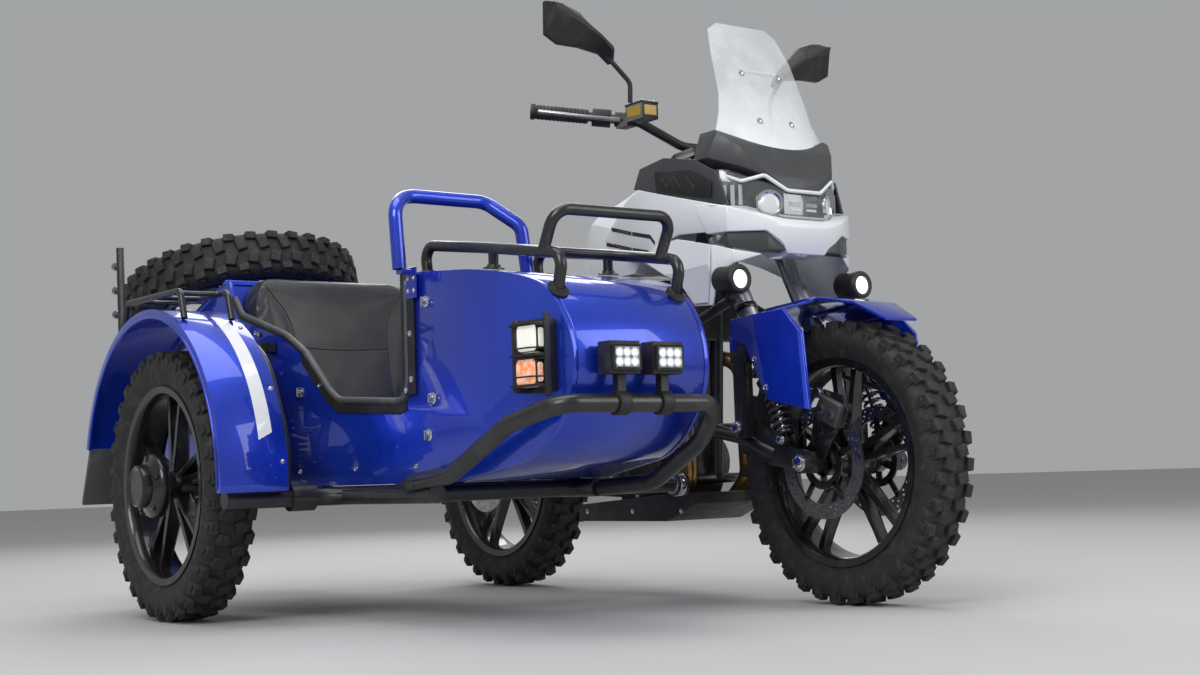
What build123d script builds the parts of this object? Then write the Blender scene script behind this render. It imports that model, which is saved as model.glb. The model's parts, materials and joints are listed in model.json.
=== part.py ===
from build123d import *
import os
from math import atan2, cos, pi, radians, sin, tan

# Sidecar motorcycle, millimetres. While it is drawn, X runs forward from the rear axle,
# Y to the rider's left from the motorcycle's middle plane, and Z up from the ground.

# Wheels, all of one size
TYRE_RADIUS = 330
TYRE_WIDTH = 125
LUG_HEIGHT = 9
TYRE_FACETS = 18
BEAD_RADIUS = 230
FLANGE_RADIUS = 242
RIM_WIDTH = 100
FLANGE_WIDTH = 5
RIM_WALL = 8
HUB_RADIUS = 34
HUB_WIDTH = 110
SPOKE_PAIRS = 5
AXLE_DIA = 20
RUNNING_GAP = 0.5

# Places of the wheels
WHEELBASE = 1441
SIDE_AXLE_X = 316
SIDE_AXLE_Y = -1179

# Brakes and final drive
FRONT_DISC_RADIUS = 130
REAR_DISC_RADIUS = 110
DISC_THICK = 5
DISC_Y = 90
SPROCKET_TIP = 88
SPROCKET_TEETH = 40
PINION_TIP = 36
CHAIN_Y = 95
CHAIN_WIDTH = 14
CHAIN_DEPTH = 12
PINION_X = 578
PINION_Z = 400

# Steering head and leading-link fork
RAKE = 27
HEAD_X = WHEELBASE - 527
HEAD_Z = 1130
FORK_OFFSET = 70
FORK_Y = 100
FORK_DIA = 50
FORK_FOOT_Z = 600
LEG_Y = 166
LEG_WIDTH = 26
LINK_PIVOT_X = WHEELBASE - 181
LINK_PIVOT_Z = 420
LINK_Y = 138
LOOP_DIA = 32
LOOP_X = WHEELBASE - TYRE_RADIUS - LOOP_DIA / 2 - 10
HEAD_TUBE_DIA = 58
STEM_DIA = 30

# Motorcycle frame
FRAME_TUBE = 34
SPAR_Y = 125
UPRIGHT_Y = 62
DOWN_TUBE_Y = 42
MOUNT_TUBE_X = 905
MOUNT_TUBE_Z = 300
MOUNT_TUBE_HALF = 130
SWING_PIVOT_X = 500
SWING_PIVOT_Z = 395
SWING_Y = 123
SWING_WIDTH = 30

# Luggage plate behind the seat
CARRIER_X = -275
CARRIER_Z = 922
CARRIER_THICK = 6
CARRIER_PITCH_X = 100
CARRIER_PITCH_Y = 110
CARRIER_HOLE = 8.5

# Exhaust
HEADER_DIA = 40
PIPE_Z = 224
SILENCER_Y = 196

HANDLEBAR_DIA = 24

# Bodywork
PANEL = 8
SOFT_GAP = 0.3
SCREEN_THICK = 5
TANK_HALF_WIDTH = 150
SEAT_HALF_WIDTH = 130

# Sidecar tub, side view X and Z, plan X and Y
WALL = 12
TUB_OUTER_Y = -980
TUB_INNER_Y = -430
NOSE_OUTER_Y = -858
NOSE_INNER_Y = -510
TAPER_X = 250
NOSE_X = 1545
TAIL_X = -455
FLOOR_Z = 315
DECK_FRONT_X = 160
DECK_FRONT_Z = 862
DECK_REAR_Z = 668
CUT_FRONT_X = 980
SEAT_BOX_Z = 410
BACKREST_X = 322
TRIM_WIDTH = 14
TRIM_PROUD = 4

# Lid, spare wheel and its carrier
LID_THICK = 14
LID_RELIEF = 0.3
SPARE_LIFT = 42
SPARE_X = -160
SPARE_Y = -770

# Sidecar chassis, bumper and racks
RAIL_DIA = 42
RAIL_Z = 291
OUTER_RAIL_Y = -930
INNER_RAIL_Y = -500
BUMPER_DIA = 38
RACK_DIA = 22
RACK_TOP_DIA = 25
HOOP_DIA = 32

# Sidecar mudguard
GUARD_RADIUS = TYRE_RADIUS + 98
GUARD_OUTER_Y = -1262
GUARD_INNER_Y = -1097
GUARD_START = -3
GUARD_END = 166
GUARD_SHEET = 5
GUARD_LIP = 22

# The finished part's origin: the middle of its footprint on the ground
ORIGIN_X = 626
ORIGIN_Y = -412


def flat(points):
    return make_face(Polyline(*points, close=True))


def side_slab(outline, y_low, y_high):
    # An outline in X and Z, as seen from the right, made solid from y_low to y_high
    plane = Plane(origin=(0, y_high, 0), x_dir=(1, 0, 0), z_dir=(0, -1, 0))
    return extrude(plane * outline, amount=y_high - y_low)


def plan_slab(outline, z_low, z_high):
    # An outline in X and Y made solid from z_low to z_high
    return extrude(Plane.XY.offset(z_low) * outline, amount=z_high - z_low)


def front_slab(outline, x_low, x_high):
    # An outline in Y and Z made solid from x_low to x_high
    return extrude(Plane.YZ.offset(x_low) * outline, amount=x_high - x_low)


def rod(start, end, dia):
    line = Vector(*end) - Vector(*start)
    place = Plane(origin=start, z_dir=line)
    return extrude(place * Circle(dia / 2), amount=line.length)


def tube(points, dia, bend):
    # A bent round bar: straight runs joined by arcs of one bend radius, or a list of radii
    path = FilletPolyline(*points, radius=bend)
    start = Plane(origin=path @ 0, z_dir=path % 0)
    return sweep(start * Circle(dia / 2), path=path)


def box(x_range, y_range, z_range):
    size = [high - low for low, high in (x_range, y_range, z_range)]
    middle = [(high + low) / 2 for low, high in (x_range, y_range, z_range)]
    return Pos(*middle) * Box(*size)


def disc(x, z, radius, y_low, y_high, bore=0):
    # A round plate whose axis lies along Y, with an optional hole
    outline = Pos(x, z) * Circle(radius)
    if bore:
        outline -= Pos(x, z) * Circle(bore)
    return side_slab(outline, y_low, y_high)


def joined(pieces):
    whole = pieces[0]
    for piece in pieces[1:]:
        whole += piece
    return whole


def both_sides(piece):
    return piece + mirror(piece, about=Plane.XZ)


def head_point(z, forward=0):
    # A point on the steering axis at a height, or the given distance square ahead of it
    slope = tan(radians(RAKE))
    return HEAD_X + (HEAD_Z - z) * slope + forward / cos(radians(RAKE))


# Wheels

def make_tyre():
    # Half section: width out from the middle, then radius. Flat facets carry the tread lugs.
    carcass = TYRE_RADIUS - LUG_HEIGHT
    half_section = [
        (RIM_WIDTH / 2 - FLANGE_WIDTH - 1, BEAD_RADIUS - 4),
        (RIM_WIDTH / 2 - FLANGE_WIDTH - 1, FLANGE_RADIUS + 8),
        (TYRE_WIDTH / 2 - 3, FLANGE_RADIUS + 30),
        (TYRE_WIDTH / 2 - 3, carcass - 32),
        (TYRE_WIDTH / 2 - 14, carcass - 8),
        (TYRE_WIDTH / 4, carcass),
    ]
    section = [(-width, radius) for width, radius in half_section]
    section += [(width, radius) for width, radius in reversed(half_section)]
    rings = [Plane.XZ.offset(-width) * RegularPolygon(radius, TYRE_FACETS) for width, radius in section]
    tyre = loft(rings, ruled=True)
    flat_radius = carcass * cos(pi / TYRE_FACETS)
    pitch = 2 * flat_radius * tan(pi / TYRE_FACETS)
    tread_edge = TYRE_WIDTH / 2
    lugs = []
    for index in range(TYRE_FACETS):
        side = 1 if index % 2 else -1
        # Each lug: its middle across the tyre, its width, its length as a share of the facet
        for middle, width, share in (
            (side * 13, 40, 0.62),
            (side * (12 - tread_edge), 24, 0.62),
        ):
            drop = 20 if abs(middle) > TYRE_WIDTH / 4 else 6
            reach = TYRE_RADIUS if drop == 6 else TYRE_RADIUS - 6
            top = (reach ** 2 - (pitch * share / 2) ** 2) ** 0.5
            lug = box((-pitch * share / 2, pitch * share / 2), (middle - width / 2, middle + width / 2),
                      (flat_radius - drop, top))
            lugs.append(Rot(0, (index + 0.5) * 360 / TYRE_FACETS, 0) * lug)
    tyre = tyre.fuse(*lugs)
    return tyre - disc(0, 0, BEAD_RADIUS, -TYRE_WIDTH, TYRE_WIDTH)


def make_rim(bore):
    half = RIM_WIDTH / 2
    section = [
        (-half, FLANGE_RADIUS),
        (FLANGE_WIDTH - half, FLANGE_RADIUS),
        (FLANGE_WIDTH - half, BEAD_RADIUS),
        (half - FLANGE_WIDTH, BEAD_RADIUS),
        (half - FLANGE_WIDTH, FLANGE_RADIUS),
        (half, FLANGE_RADIUS),
        (half, BEAD_RADIUS - RIM_WALL),
        (-half, BEAD_RADIUS - RIM_WALL),
    ]
    rim = revolve(Plane.YZ * flat(section), axis=Axis.Y)
    rim += disc(0, 0, HUB_RADIUS, -HUB_WIDTH / 2, HUB_WIDTH / 2)
    root = HUB_RADIUS * 0.7
    tip = BEAD_RADIUS - RIM_WALL / 2
    spread = 9
    for pair in range(SPOKE_PAIRS):
        for lean in (-spread, spread):
            spoke = loft([
                Plane.XY.offset(root) * Rectangle(20, 42),
                Plane.XY.offset(tip) * Rectangle(15, 26),
            ])
            rim += Rot(0, pair * 360 / SPOKE_PAIRS + lean, 0) * spoke
    return rim - disc(0, 0, bore, -HUB_WIDTH, HUB_WIDTH)


def placed(piece, x, y):
    return Pos(x, y, TYRE_RADIUS) * piece


def make_front_discs():
    inner, outer = DISC_Y - DISC_THICK / 2, DISC_Y + DISC_THICK / 2
    plate = disc(0, 0, FRONT_DISC_RADIUS, inner, outer, FRONT_DISC_RADIUS - 34)
    arms = disc(0, 0, 62, inner, outer, AXLE_DIA / 2 + RUNNING_GAP)
    for arm in range(5):
        arms += Rot(0, arm * 72, 0) * box((-8, 8), (inner, outer), (55, FRONT_DISC_RADIUS - 30))
    carrier = disc(0, 0, HUB_RADIUS - 6, HUB_WIDTH / 2, inner, AXLE_DIA / 2 + RUNNING_GAP)
    return both_sides(plate + arms + carrier)


def make_rear_sprocket():
    # Toothed plate on the left, brake disc on the right, both bolted to the hub
    step = 360 / SPROCKET_TEETH
    outline = []
    for tooth in range(SPROCKET_TEETH):
        for part, radius in ((0, SPROCKET_TIP), (0.5, SPROCKET_TIP - 7)):
            angle = radians((tooth + part) * step)
            outline.append((radius * cos(angle), radius * sin(angle)))
    bore = AXLE_DIA / 2 + RUNNING_GAP
    teeth = side_slab(flat(outline), CHAIN_Y - 3, CHAIN_Y + 3)
    teeth -= disc(0, 0, bore, 0, HUB_WIDTH)
    teeth += disc(0, 0, HUB_RADIUS - 4, HUB_WIDTH / 2, CHAIN_Y - 3, bore)
    brake = disc(0, 0, REAR_DISC_RADIUS, -DISC_Y - DISC_THICK / 2, -DISC_Y + DISC_THICK / 2, bore)
    brake += disc(0, 0, HUB_RADIUS - 4, -DISC_Y + DISC_THICK / 2, -HUB_WIDTH / 2, bore)
    return teeth + brake


# Motorcycle frame, engine and drive

def make_frame():
    head = rod((head_point(930), 0, 930), (head_point(1062), 0, 1062), HEAD_TUBE_DIA)
    spar = tube([
        (head_point(1000) - 8, 12, 1000),
        (850, SPAR_Y, 900),
        (560, SPAR_Y, 700),
        (SWING_PIVOT_X + 5, UPRIGHT_Y, 500),
        (SWING_PIVOT_X, UPRIGHT_Y, SWING_PIVOT_Z - 60),
    ], FRAME_TUBE, [70, 80, 50])
    down_tube = tube([
        (head_point(962) - 24, 14, 962),
        (936, DOWN_TUBE_Y, 800),
        (MOUNT_TUBE_X, DOWN_TUBE_Y, MOUNT_TUBE_Z),
    ], FRAME_TUBE, 120)
    seat_rail = tube([(610, SPAR_Y, 735), (300, 105, 745), (-250, 85, 850)], 26, 120)
    seat_stay = rod((SWING_PIVOT_X + 5, UPRIGHT_Y + 6, 500), (60, 95, 785), 22)
    frame = head + both_sides(spar) + both_sides(down_tube) + both_sides(seat_rail) + both_sides(seat_stay)
    # Cross tubes: place along X, half length, height, diameter
    for x, half, z, dia in (
        (SWING_PIVOT_X, UPRIGHT_Y + 20, SWING_PIVOT_Z, 44),
        (560, SPAR_Y, 700, FRAME_TUBE),
        (MOUNT_TUBE_X, MOUNT_TUBE_HALF, MOUNT_TUBE_Z, 26),
        (-180, 90, 838, 22),
    ):
        frame += rod((x, -half, z), (x, half, z), dia)
    frame += box((head_point(1000) + 20, 1173), (-12, 12), (985, 1015))
    return frame - rod((head_point(900), 0, 900), (head_point(1100), 0, 1100), STEM_DIA + 2 * RUNNING_GAP)


def make_engine():
    case = side_slab(flat([
        (575, 262), (860, 250), (893, 310), (885, 410), (800, 470), (640, 470), (575, 440),
    ]), -92, 86)
    gearbox = side_slab(flat([(535, 330), (575, 262), (575, 440), (535, 440)]), -92, 74)
    clutch = disc(665, 350, 86, -122, -92) + disc(665, 350, 60, -130, -122)
    generator = disc(800, 345, 70, 86, 120)
    lean = Pos(760, 0, 445) * Rot(0, 10, 0)
    block = lean * box((-80, 80), (-88, 88), (0, 150))
    for rib in range(5):
        block += lean * box((-90, 90), (-94, 94), (22 + rib * 26, 30 + rib * 26))
    head = lean * box((-88, 88), (-95, 95), (150, 235))
    cover = lean * extrude(Plane.XY.offset(235) * RectangleRounded(150, 180, 24), amount=42)
    sump = box((610, 830), (-46, 46), (222, 268))
    pinion_shaft = disc(PINION_X, PINION_Z, 13, 74, CHAIN_Y - 4)
    pinion = disc(PINION_X, PINION_Z, PINION_TIP, CHAIN_Y - 4, CHAIN_Y + 4)
    return joined([case, gearbox, clutch, generator, block, head, cover, sump,
                   pinion_shaft, pinion])


def make_drive_chain():
    # One loop round pinion and sprocket, tangent to both
    rear, front = SPROCKET_TIP + 1.5, PINION_TIP + 0.5
    centre_line = atan2(PINION_Z - TYRE_RADIUS, PINION_X)
    swing = (rear - front) / (PINION_X ** 2 + (PINION_Z - TYRE_RADIUS) ** 2) ** 0.5

    def loop(extra):
        hull_points = []
        for cx, cz, radius, turn in (
            (0, TYRE_RADIUS, rear + extra, pi / 2 - swing),
            (PINION_X, PINION_Z, front + extra, pi / 2 - swing),
            (PINION_X, PINION_Z, front + extra, swing - pi / 2),
            (0, TYRE_RADIUS, rear + extra, swing - pi / 2),
        ):
            angle = centre_line + turn
            hull_points.append((cx + radius * cos(angle), cz + radius * sin(angle)))
        top_rear, top_front, low_front, low_rear = hull_points
        nose = (PINION_X + (front + extra) * cos(centre_line), PINION_Z + (front + extra) * sin(centre_line))
        tail = (-(rear + extra) * cos(centre_line), TYRE_RADIUS - (rear + extra) * sin(centre_line))
        return make_face(Curve() + [
            Line(top_rear, top_front),
            ThreePointArc(top_front, nose, low_front),
            Line(low_front, low_rear),
            ThreePointArc(low_rear, tail, top_rear),
        ])

    outer = side_slab(loop(CHAIN_DEPTH), CHAIN_Y - CHAIN_WIDTH / 2, CHAIN_Y + CHAIN_WIDTH / 2)
    return outer - side_slab(loop(0), CHAIN_Y - CHAIN_WIDTH, CHAIN_Y + CHAIN_WIDTH)


def make_exhaust():
    # Two header pipes curve from the head's front under the engine, then one pipe to the silencer
    header = tube([(868, 62, 626), (952, 98, 596), (964, 98, 300), (900, 76, PIPE_Z), (600, 76, PIPE_Z)],
                  HEADER_DIA, [55, 70, 60])
    other = mirror(header, about=Plane.XZ)
    crossing = tube([(600, -76, PIPE_Z), (560, -76, PIPE_Z), (540, 60, PIPE_Z), (470, 150, 262),
                     (300, SILENCER_Y, 330), (230, SILENCER_Y, 352)], 42, [30, 50, 60, 60])
    silencer = rod((240, SILENCER_Y, 350), (-190, SILENCER_Y + 10, 520), 96)
    return header + other + crossing + silencer


def make_belly_pan():
    tip = WHEELBASE - TYRE_RADIUS - 85
    outline = flat([
        (520, 196), (tip - 126, 196), (tip - 6, 240), (tip, 266), (tip - 26, 268),
        (tip - 166, 262), (520, 240),
    ])
    hollow = flat([(500, 201), (tip - 127, 201), (tip - 18, 242), (tip - 18, 320), (500, 320)])
    return side_slab(outline, -125, 125) - side_slab(hollow, -120, 120)


def make_swingarm():
    arm = side_slab(flat([
        (-45, TYRE_RADIUS - 24), (-45, TYRE_RADIUS + 24), (120, TYRE_RADIUS + 42),
        (SWING_PIVOT_X + 24, SWING_PIVOT_Z + 26), (SWING_PIVOT_X + 24, SWING_PIVOT_Z - 26),
        (120, TYRE_RADIUS - 18),
    ]), SWING_Y - SWING_WIDTH / 2, SWING_Y + SWING_WIDTH / 2)
    bridge = box((360, 400), (-SWING_Y, SWING_Y), (SWING_PIVOT_Z - 46, SWING_PIVOT_Z + 4))
    axle = rod((0, -SWING_Y - 22, TYRE_RADIUS), (0, SWING_Y + 22, TYRE_RADIUS), AXLE_DIA)
    pivot = rod((SWING_PIVOT_X, UPRIGHT_Y + 20, SWING_PIVOT_Z), (SWING_PIVOT_X, SWING_Y, SWING_PIVOT_Z), 34)
    return both_sides(arm) + bridge + axle + both_sides(pivot)


def make_rear_shock():
    low, high = (385, 0, SWING_PIVOT_Z + 6), (470, 0, 668)
    body = rod(low, (430, 0, 545), 44)
    spring_seat = rod((395, 0, 435), (399, 0, 447), 74)
    shaft = rod((430, 0, 545), high, 22)
    coil = joined([rod((399 + 6.2 * turn, 0, 449 + 22 * turn), (402.5 + 6.2 * turn, 0, 461 + 22 * turn), 70)
                   for turn in range(8)])
    return body + spring_seat + shaft + coil


def make_radiator():
    core = box((905, 940), (-120, 120), (655, 800))
    tanks = both_sides(box((898, 947), (120, 140), (650, 805)))
    return core + tanks


# Front end, all of which steers

def make_front_fork():
    foot_x = head_point(FORK_FOOT_Z, FORK_OFFSET)
    top_z = 1098
    leg = rod((foot_x, FORK_Y, FORK_FOOT_Z), (head_point(top_z, FORK_OFFSET), FORK_Y, top_z), FORK_DIA)
    shoe = box((foot_x - 30, foot_x + 26), (FORK_Y - 22, LEG_Y + LEG_WIDTH / 2), (572, 628))
    drop_leg = box((foot_x - 22, foot_x + 18), (LEG_Y - LEG_WIDTH / 2, LEG_Y + LEG_WIDTH / 2),
                   (LINK_PIVOT_Z - 24, 580))
    pivot = rod((LINK_PIVOT_X, LINK_Y + 14, LINK_PIVOT_Z), (LINK_PIVOT_X, LEG_Y + 24, LINK_PIVOT_Z), 24)
    fork = both_sides(leg + shoe + drop_leg + pivot)
    clamp_outline = flat([
        (-30, -14), (-30, 14), (-6, 38), (30, FORK_Y + 34), (FORK_OFFSET, FORK_Y + 34),
        (FORK_OFFSET + 34, FORK_Y), (FORK_OFFSET + 34, -FORK_Y), (FORK_OFFSET, -FORK_Y - 34),
        (30, -FORK_Y - 34), (-6, -38),
    ])
    rake = radians(RAKE)
    for height, thick in ((900, 30), (1068, 24)):
        yoke = Plane(origin=(head_point(height), 0, height), x_dir=(cos(rake), 0, sin(rake)),
                     z_dir=(-sin(rake), 0, cos(rake)))
        fork += extrude(yoke * clamp_outline, amount=thick)
    fork += rod((head_point(890), 0, 890), (head_point(1105), 0, 1105), STEM_DIA)
    risers = rod((head_point(1090) + 38, 50, 1096), (1000, 50, 1128), 30)
    fork += both_sides(risers)
    return fork


def make_front_links():
    loop = tube([
        (WHEELBASE - 106, LINK_Y, TYRE_RADIUS + 22), (LINK_PIVOT_X - 20, LINK_Y, LINK_PIVOT_Z - 28),
        (LOOP_X, LINK_Y - 12, LINK_PIVOT_Z), (LOOP_X, 12 - LINK_Y, LINK_PIVOT_Z),
        (LINK_PIVOT_X - 20, -LINK_Y, LINK_PIVOT_Z - 28), (WHEELBASE - 106, -LINK_Y, TYRE_RADIUS + 22),
    ], LOOP_DIA, [80, 45, 45, 80])
    plate = side_slab(flat([
        (WHEELBASE - 141, TYRE_RADIUS + 20), (LINK_PIVOT_X - 24, LINK_PIVOT_Z + 12),
        (LINK_PIVOT_X + 24, LINK_PIVOT_Z + 20), (WHEELBASE - 96, TYRE_RADIUS + 46),
        (WHEELBASE + 22, TYRE_RADIUS + 24), (WHEELBASE + 22, TYRE_RADIUS - 24),
        (WHEELBASE - 121, TYRE_RADIUS - 2),
    ]), LINK_Y - 8, LINK_Y + 8)
    links = loop + both_sides(plate)
    links += rod((WHEELBASE, -LINK_Y - 30, TYRE_RADIUS), (WHEELBASE, LINK_Y + 30, TYRE_RADIUS), AXLE_DIA)
    collar = rod((WHEELBASE, LINK_Y + 8, TYRE_RADIUS), (WHEELBASE, LINK_Y + 26, TYRE_RADIUS), 47)
    inner_collar = rod((WHEELBASE, DISC_Y + 6, TYRE_RADIUS), (WHEELBASE, LINK_Y - 8, TYRE_RADIUS), 40)
    links += both_sides(collar) + both_sides(inner_collar)
    return links


def make_calipers():
    # Each straddles its disc's rear rim and is bolted to the link plate
    body = box((WHEELBASE - 139, WHEELBASE - 69), (DISC_Y - 17, LINK_Y - 8),
               (TYRE_RADIUS + 22, TYRE_RADIUS + 102))
    slot = box((WHEELBASE - 151, WHEELBASE - 51), (DISC_Y - DISC_THICK / 2 - 5, DISC_Y + DISC_THICK / 2 + 5),
               (TYRE_RADIUS - 30, TYRE_RADIUS + 120))
    body -= slot & disc(WHEELBASE, TYRE_RADIUS, FRONT_DISC_RADIUS + 5, 0, LINK_Y)
    return both_sides(body)


def make_front_shocks():
    # Coil-over units between the link plates and the fork's shoes
    shoe_front = head_point(FORK_FOOT_Z, FORK_OFFSET) + 26
    low = (WHEELBASE - 49, 158, TYRE_RADIUS + 62)
    high = (shoe_front + 12, 158, FORK_FOOT_Z + 40)
    run = (Vector(*high) - Vector(*low)).normalized()

    def along(start, end, dia):
        first = Vector(*low) + run * start
        last = Vector(*low) + run * end
        return rod(tuple(first), tuple(last), dia)

    unit = along(-10, 250, 14) + along(120, 255, 34)
    for turn in range(6):
        unit += along(22 + 17 * turn, 31 + 17 * turn, 44)
    eye = rod((low[0], LINK_Y + 8, low[2] - 6), (low[0], 168, low[2] - 6), 26)
    top_eye = rod((high[0] - 4, 140, high[2] + 8), (high[0] - 4, 168, high[2] + 8), 26)
    bracket = box((shoe_front - 3, shoe_front + 18), (FORK_Y + 30, 152), (FORK_FOOT_Z, FORK_FOOT_Z + 55))
    return both_sides(unit + eye + top_eye + bracket)


def make_front_mudguard():
    sheet = 5
    hub, top_z = WHEELBASE, 2 * TYRE_RADIUS
    crown = [(hub - 311, top_z - 68), (hub - 251, top_z + 4), (hub - 179, top_z + 44), (hub - 11, top_z + 56),
             (hub + 99, top_z + 34), (hub + 181, top_z - 10)]
    under = [(x - 2, z - sheet - 1) for x, z in reversed(crown)]
    top = side_slab(flat(crown + under), -84, 84)
    plan = flat([(hub - 321, -70), (hub - 191, -92), (hub - 11, -92), (hub + 189, -48), (hub + 189, 48),
                 (hub - 11, 92), (hub - 191, 92), (hub - 321, 70)])
    guard = top & plan_slab(plan, top_z - 160, top_z + 140)
    shoulder = loft([
        Plane.XZ.offset(-82) * flat([(hub - 191, top_z + 38), (hub - 11, top_z + 51), (hub - 11, top_z + 45),
                                     (hub - 191, top_z + 32)]),
        Plane.XZ.offset(-182) * flat([(hub - 194, top_z + 16), (hub - 9, top_z + 26), (hub - 9, top_z + 20),
                                      (hub - 194, top_z + 10)]),
    ], ruled=True)
    side_outline = flat([(hub - 194, top_z + 16), (hub - 9, top_z + 26), (hub + 52, top_z - 34),
                         (hub + 68, top_z - 212), (hub - 70, top_z - 182), (hub - 146, top_z - 48),
                         (hub - 194, top_z - 30)])
    cheek = side_slab(side_outline, 182, 182 + sheet)
    stay = box((hub - 205, hub - 179), (LEG_Y, 182), (FORK_FOOT_Z, FORK_FOOT_Z + 40))
    return guard + both_sides(shoulder) + both_sides(cheek) + both_sides(stay)


def make_handlebar():
    half = [(798, -420, 1240), (955, -215, 1206), (1000, -110, 1142)]
    points = half + [(x, -y, z) for x, y, z in reversed(half)]
    return tube(points, HANDLEBAR_DIA, [80, 50, 50, 80])


def make_hand_controls():
    def along(share_start, share_end, dia):
        start, end = Vector(798, -420, 1240), Vector(955, -215, 1206)
        run = end - start
        return rod(tuple(start + run * share_start), tuple(start + run * share_end), dia)

    bar = along(-0.1, 1.1, HANDLEBAR_DIA + 2 * SOFT_GAP)
    grip = along(0.0, 0.52, 35) + along(-0.04, 0.0, 40)
    switches = along(0.56, 0.74, 46)
    master = along(0.78, 0.92, 38)
    lever = rod((950, -266, 1206), (900, -338, 1216), 11) + rod((900, -338, 1216), (836, -436, 1232), 11)
    lever += Pos(900, -338, 1216) * Sphere(5.5)
    perch = box((926, 972), (-262, -230), (1188, 1222))
    reservoir = box((968, 1036), (-262, -212), (1196, 1236))
    side = grip + switches + master + lever + perch
    right = (side + reservoir) - bar
    left = mirror(side - bar, about=Plane.XZ)
    return right + left


def make_mirrors():
    # Leaf-shaped pods on bent stalks. The pod's outline and the crest of its back are Y and Z.
    outline = [(-475, 1485), (-477, 1402), (-440, 1382), (-375, 1381), (-312, 1372), (-281, 1349),
               (-271, 1354), (-283, 1385), (-327, 1427), (-372, 1469), (-418, 1485), (-447, 1489)]
    crest = [(-465, 1476), (-459, 1464), (-432, 1452), (-375, 1430), (-317, 1398), (-295, 1376),
             (-289, 1380), (-293, 1388), (-329, 1414), (-373, 1440), (-419, 1462), (-447, 1474)]
    rim_x, crest_x = 938, 968
    pod = front_slab(flat(outline), rim_x - 12, rim_x)
    pod += loft([
        Plane.YZ.offset(rim_x) * flat(outline),
        Plane.YZ.offset(crest_x) * flat(crest),
    ], ruled=True)
    stalk = tube([(958, -240, 1208), (958, -236, 1302), (940, -292, 1366)], 12, 30)
    return both_sides(pod + stalk)


# Motorcycle bodywork

def make_fuel_tank():
    side = flat([
        (898, 912), (935, 1000), (905, 1048), (780, 1058), (650, 1010), (545, 900), (520, 840), (600, 828),
        (840, 835),
    ])
    tank = side_slab(side, -TANK_HALF_WIDTH, TANK_HALF_WIDTH)
    plan = flat([(500, -85), (620, -130), (760, -TANK_HALF_WIDTH), (880, -TANK_HALF_WIDTH), (945, -110),
                 (945, 110), (880, TANK_HALF_WIDTH), (760, TANK_HALF_WIDTH), (620, 130), (500, 85)])
    tank &= plan_slab(plan, 700, 1200)
    crest = flat([(-150, 780), (-150, 960), (-92, 1062), (92, 1062), (150, 960), (150, 780)])
    tank &= front_slab(crest, 400, 1000)
    return tank + Pos(800, 0, 1052) * Cylinder(38, 14)


def make_side_shrouds():
    # Upper band to the beak and lower fin, with the air duct's slot between them
    outline = flat([
        (720, 934), (785, 992), (872, 1018), (936, 1034), (1016, 1012), (1268, 945), (1318, 916),
        (1318, 893), (1265, 885), (1100, 897), (1022, 880), (1225, 857), (1312, 828), (1236, 790),
        (1213, 713), (1150, 716), (1100, 775), (944, 848),
    ])
    against_tank = -TANK_HALF_WIDTH - PANEL - SOFT_GAP
    line = [(700, against_tank), (780, against_tank), (900, -204), (1040, -216), (1225, -212), (1275, -190),
            (1325, -118)]
    band = flat(line + [(x, y + PANEL) for x, y in reversed(line)])
    right = side_slab(outline, -300, -100) & plan_slab(band, 600, 1200)
    return both_sides(right)


def mirrored(points):
    # An outline's far half, so that it is even about its first coordinate
    return points + [(-across, along) for across, along in reversed(points)]


def nose_form(side, plan, front):
    # The form that a side view, a top view and a front view have in common
    plan_outline = flat([(x, y) for y, x in mirrored(plan)])
    form = side_slab(flat(side), -260, 260) & plan_slab(plan_outline, 700, 1250)
    return form & front_slab(flat(mirrored(front)), 1100, 1400)


def make_nose_cowl():
    # White beak below the headlamp, with an arm to each shroud. Plan is Y and X, front is Y and Z.
    side = [(1215, 866), (1246, 828), (1322, 832), (1338, 896), (1322, 914), (1268, 945), (1176, 960)]
    plan = [(226, 1165), (202, 1268), (124, 1322), (58, 1338)]
    front = [(58, 828), (74, 850), (124, 884), (230, 884), (230, 965)]
    return nose_form(side, plan, front)


def make_headlamp():
    side = [(1172, 940), (1262, 922), (1314, 902), (1320, 982), (1300, 1002), (1240, 1036), (1172, 1040)]
    plan = [(204, 1165), (188, 1232), (148, 1267), (62, 1316)]
    front = [(88, 900), (150, 946), (190, 976), (196, 1042)]
    return nose_form(side, plan, front)


def make_dash_cowl():
    # Grey cowl over the lamp, its two side wings and the duct scoops under the beak's arms
    side = [(1150, 1030), (1158, 1140), (1213, 1140), (1267, 1096), (1316, 1018), (1323, 978),
            (1300, 972), (1232, 1030)]
    plan = [(204, 1150), (202, 1202), (150, 1269), (112, 1306), (54, 1323)]
    front = [(54, 976), (112, 1022), (150, 1044), (202, 1072), (182, 1142), (95, 1112)]
    cowl = nose_form(side, plan, front)
    wing_line = [(900, -196), (1040, -206), (1206, -204), (1262, -192)]
    wing = side_slab(flat([(905, 1040), (935, 1088), (1042, 1098), (1160, 1074), (1232, 1034), (1262, 950),
                           (1214, 960), (1016, 1004)]), -260, -150)
    wing &= plan_slab(flat(wing_line + [(x, y + 6) for x, y in reversed(wing_line)]), 900, 1200)
    scoop = side_slab(flat([(1228, 862), (1262, 886), (1320, 894), (1324, 840), (1300, 834)]), -260, -40)
    scoop &= plan_slab(flat([(1222, -206), (1262, -196), (1318, -118), (1322, -66), (1296, -66), (1250, -140),
                             (1222, -160)]), 800, 950)
    return cowl + both_sides(wing) + both_sides(scoop)


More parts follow.
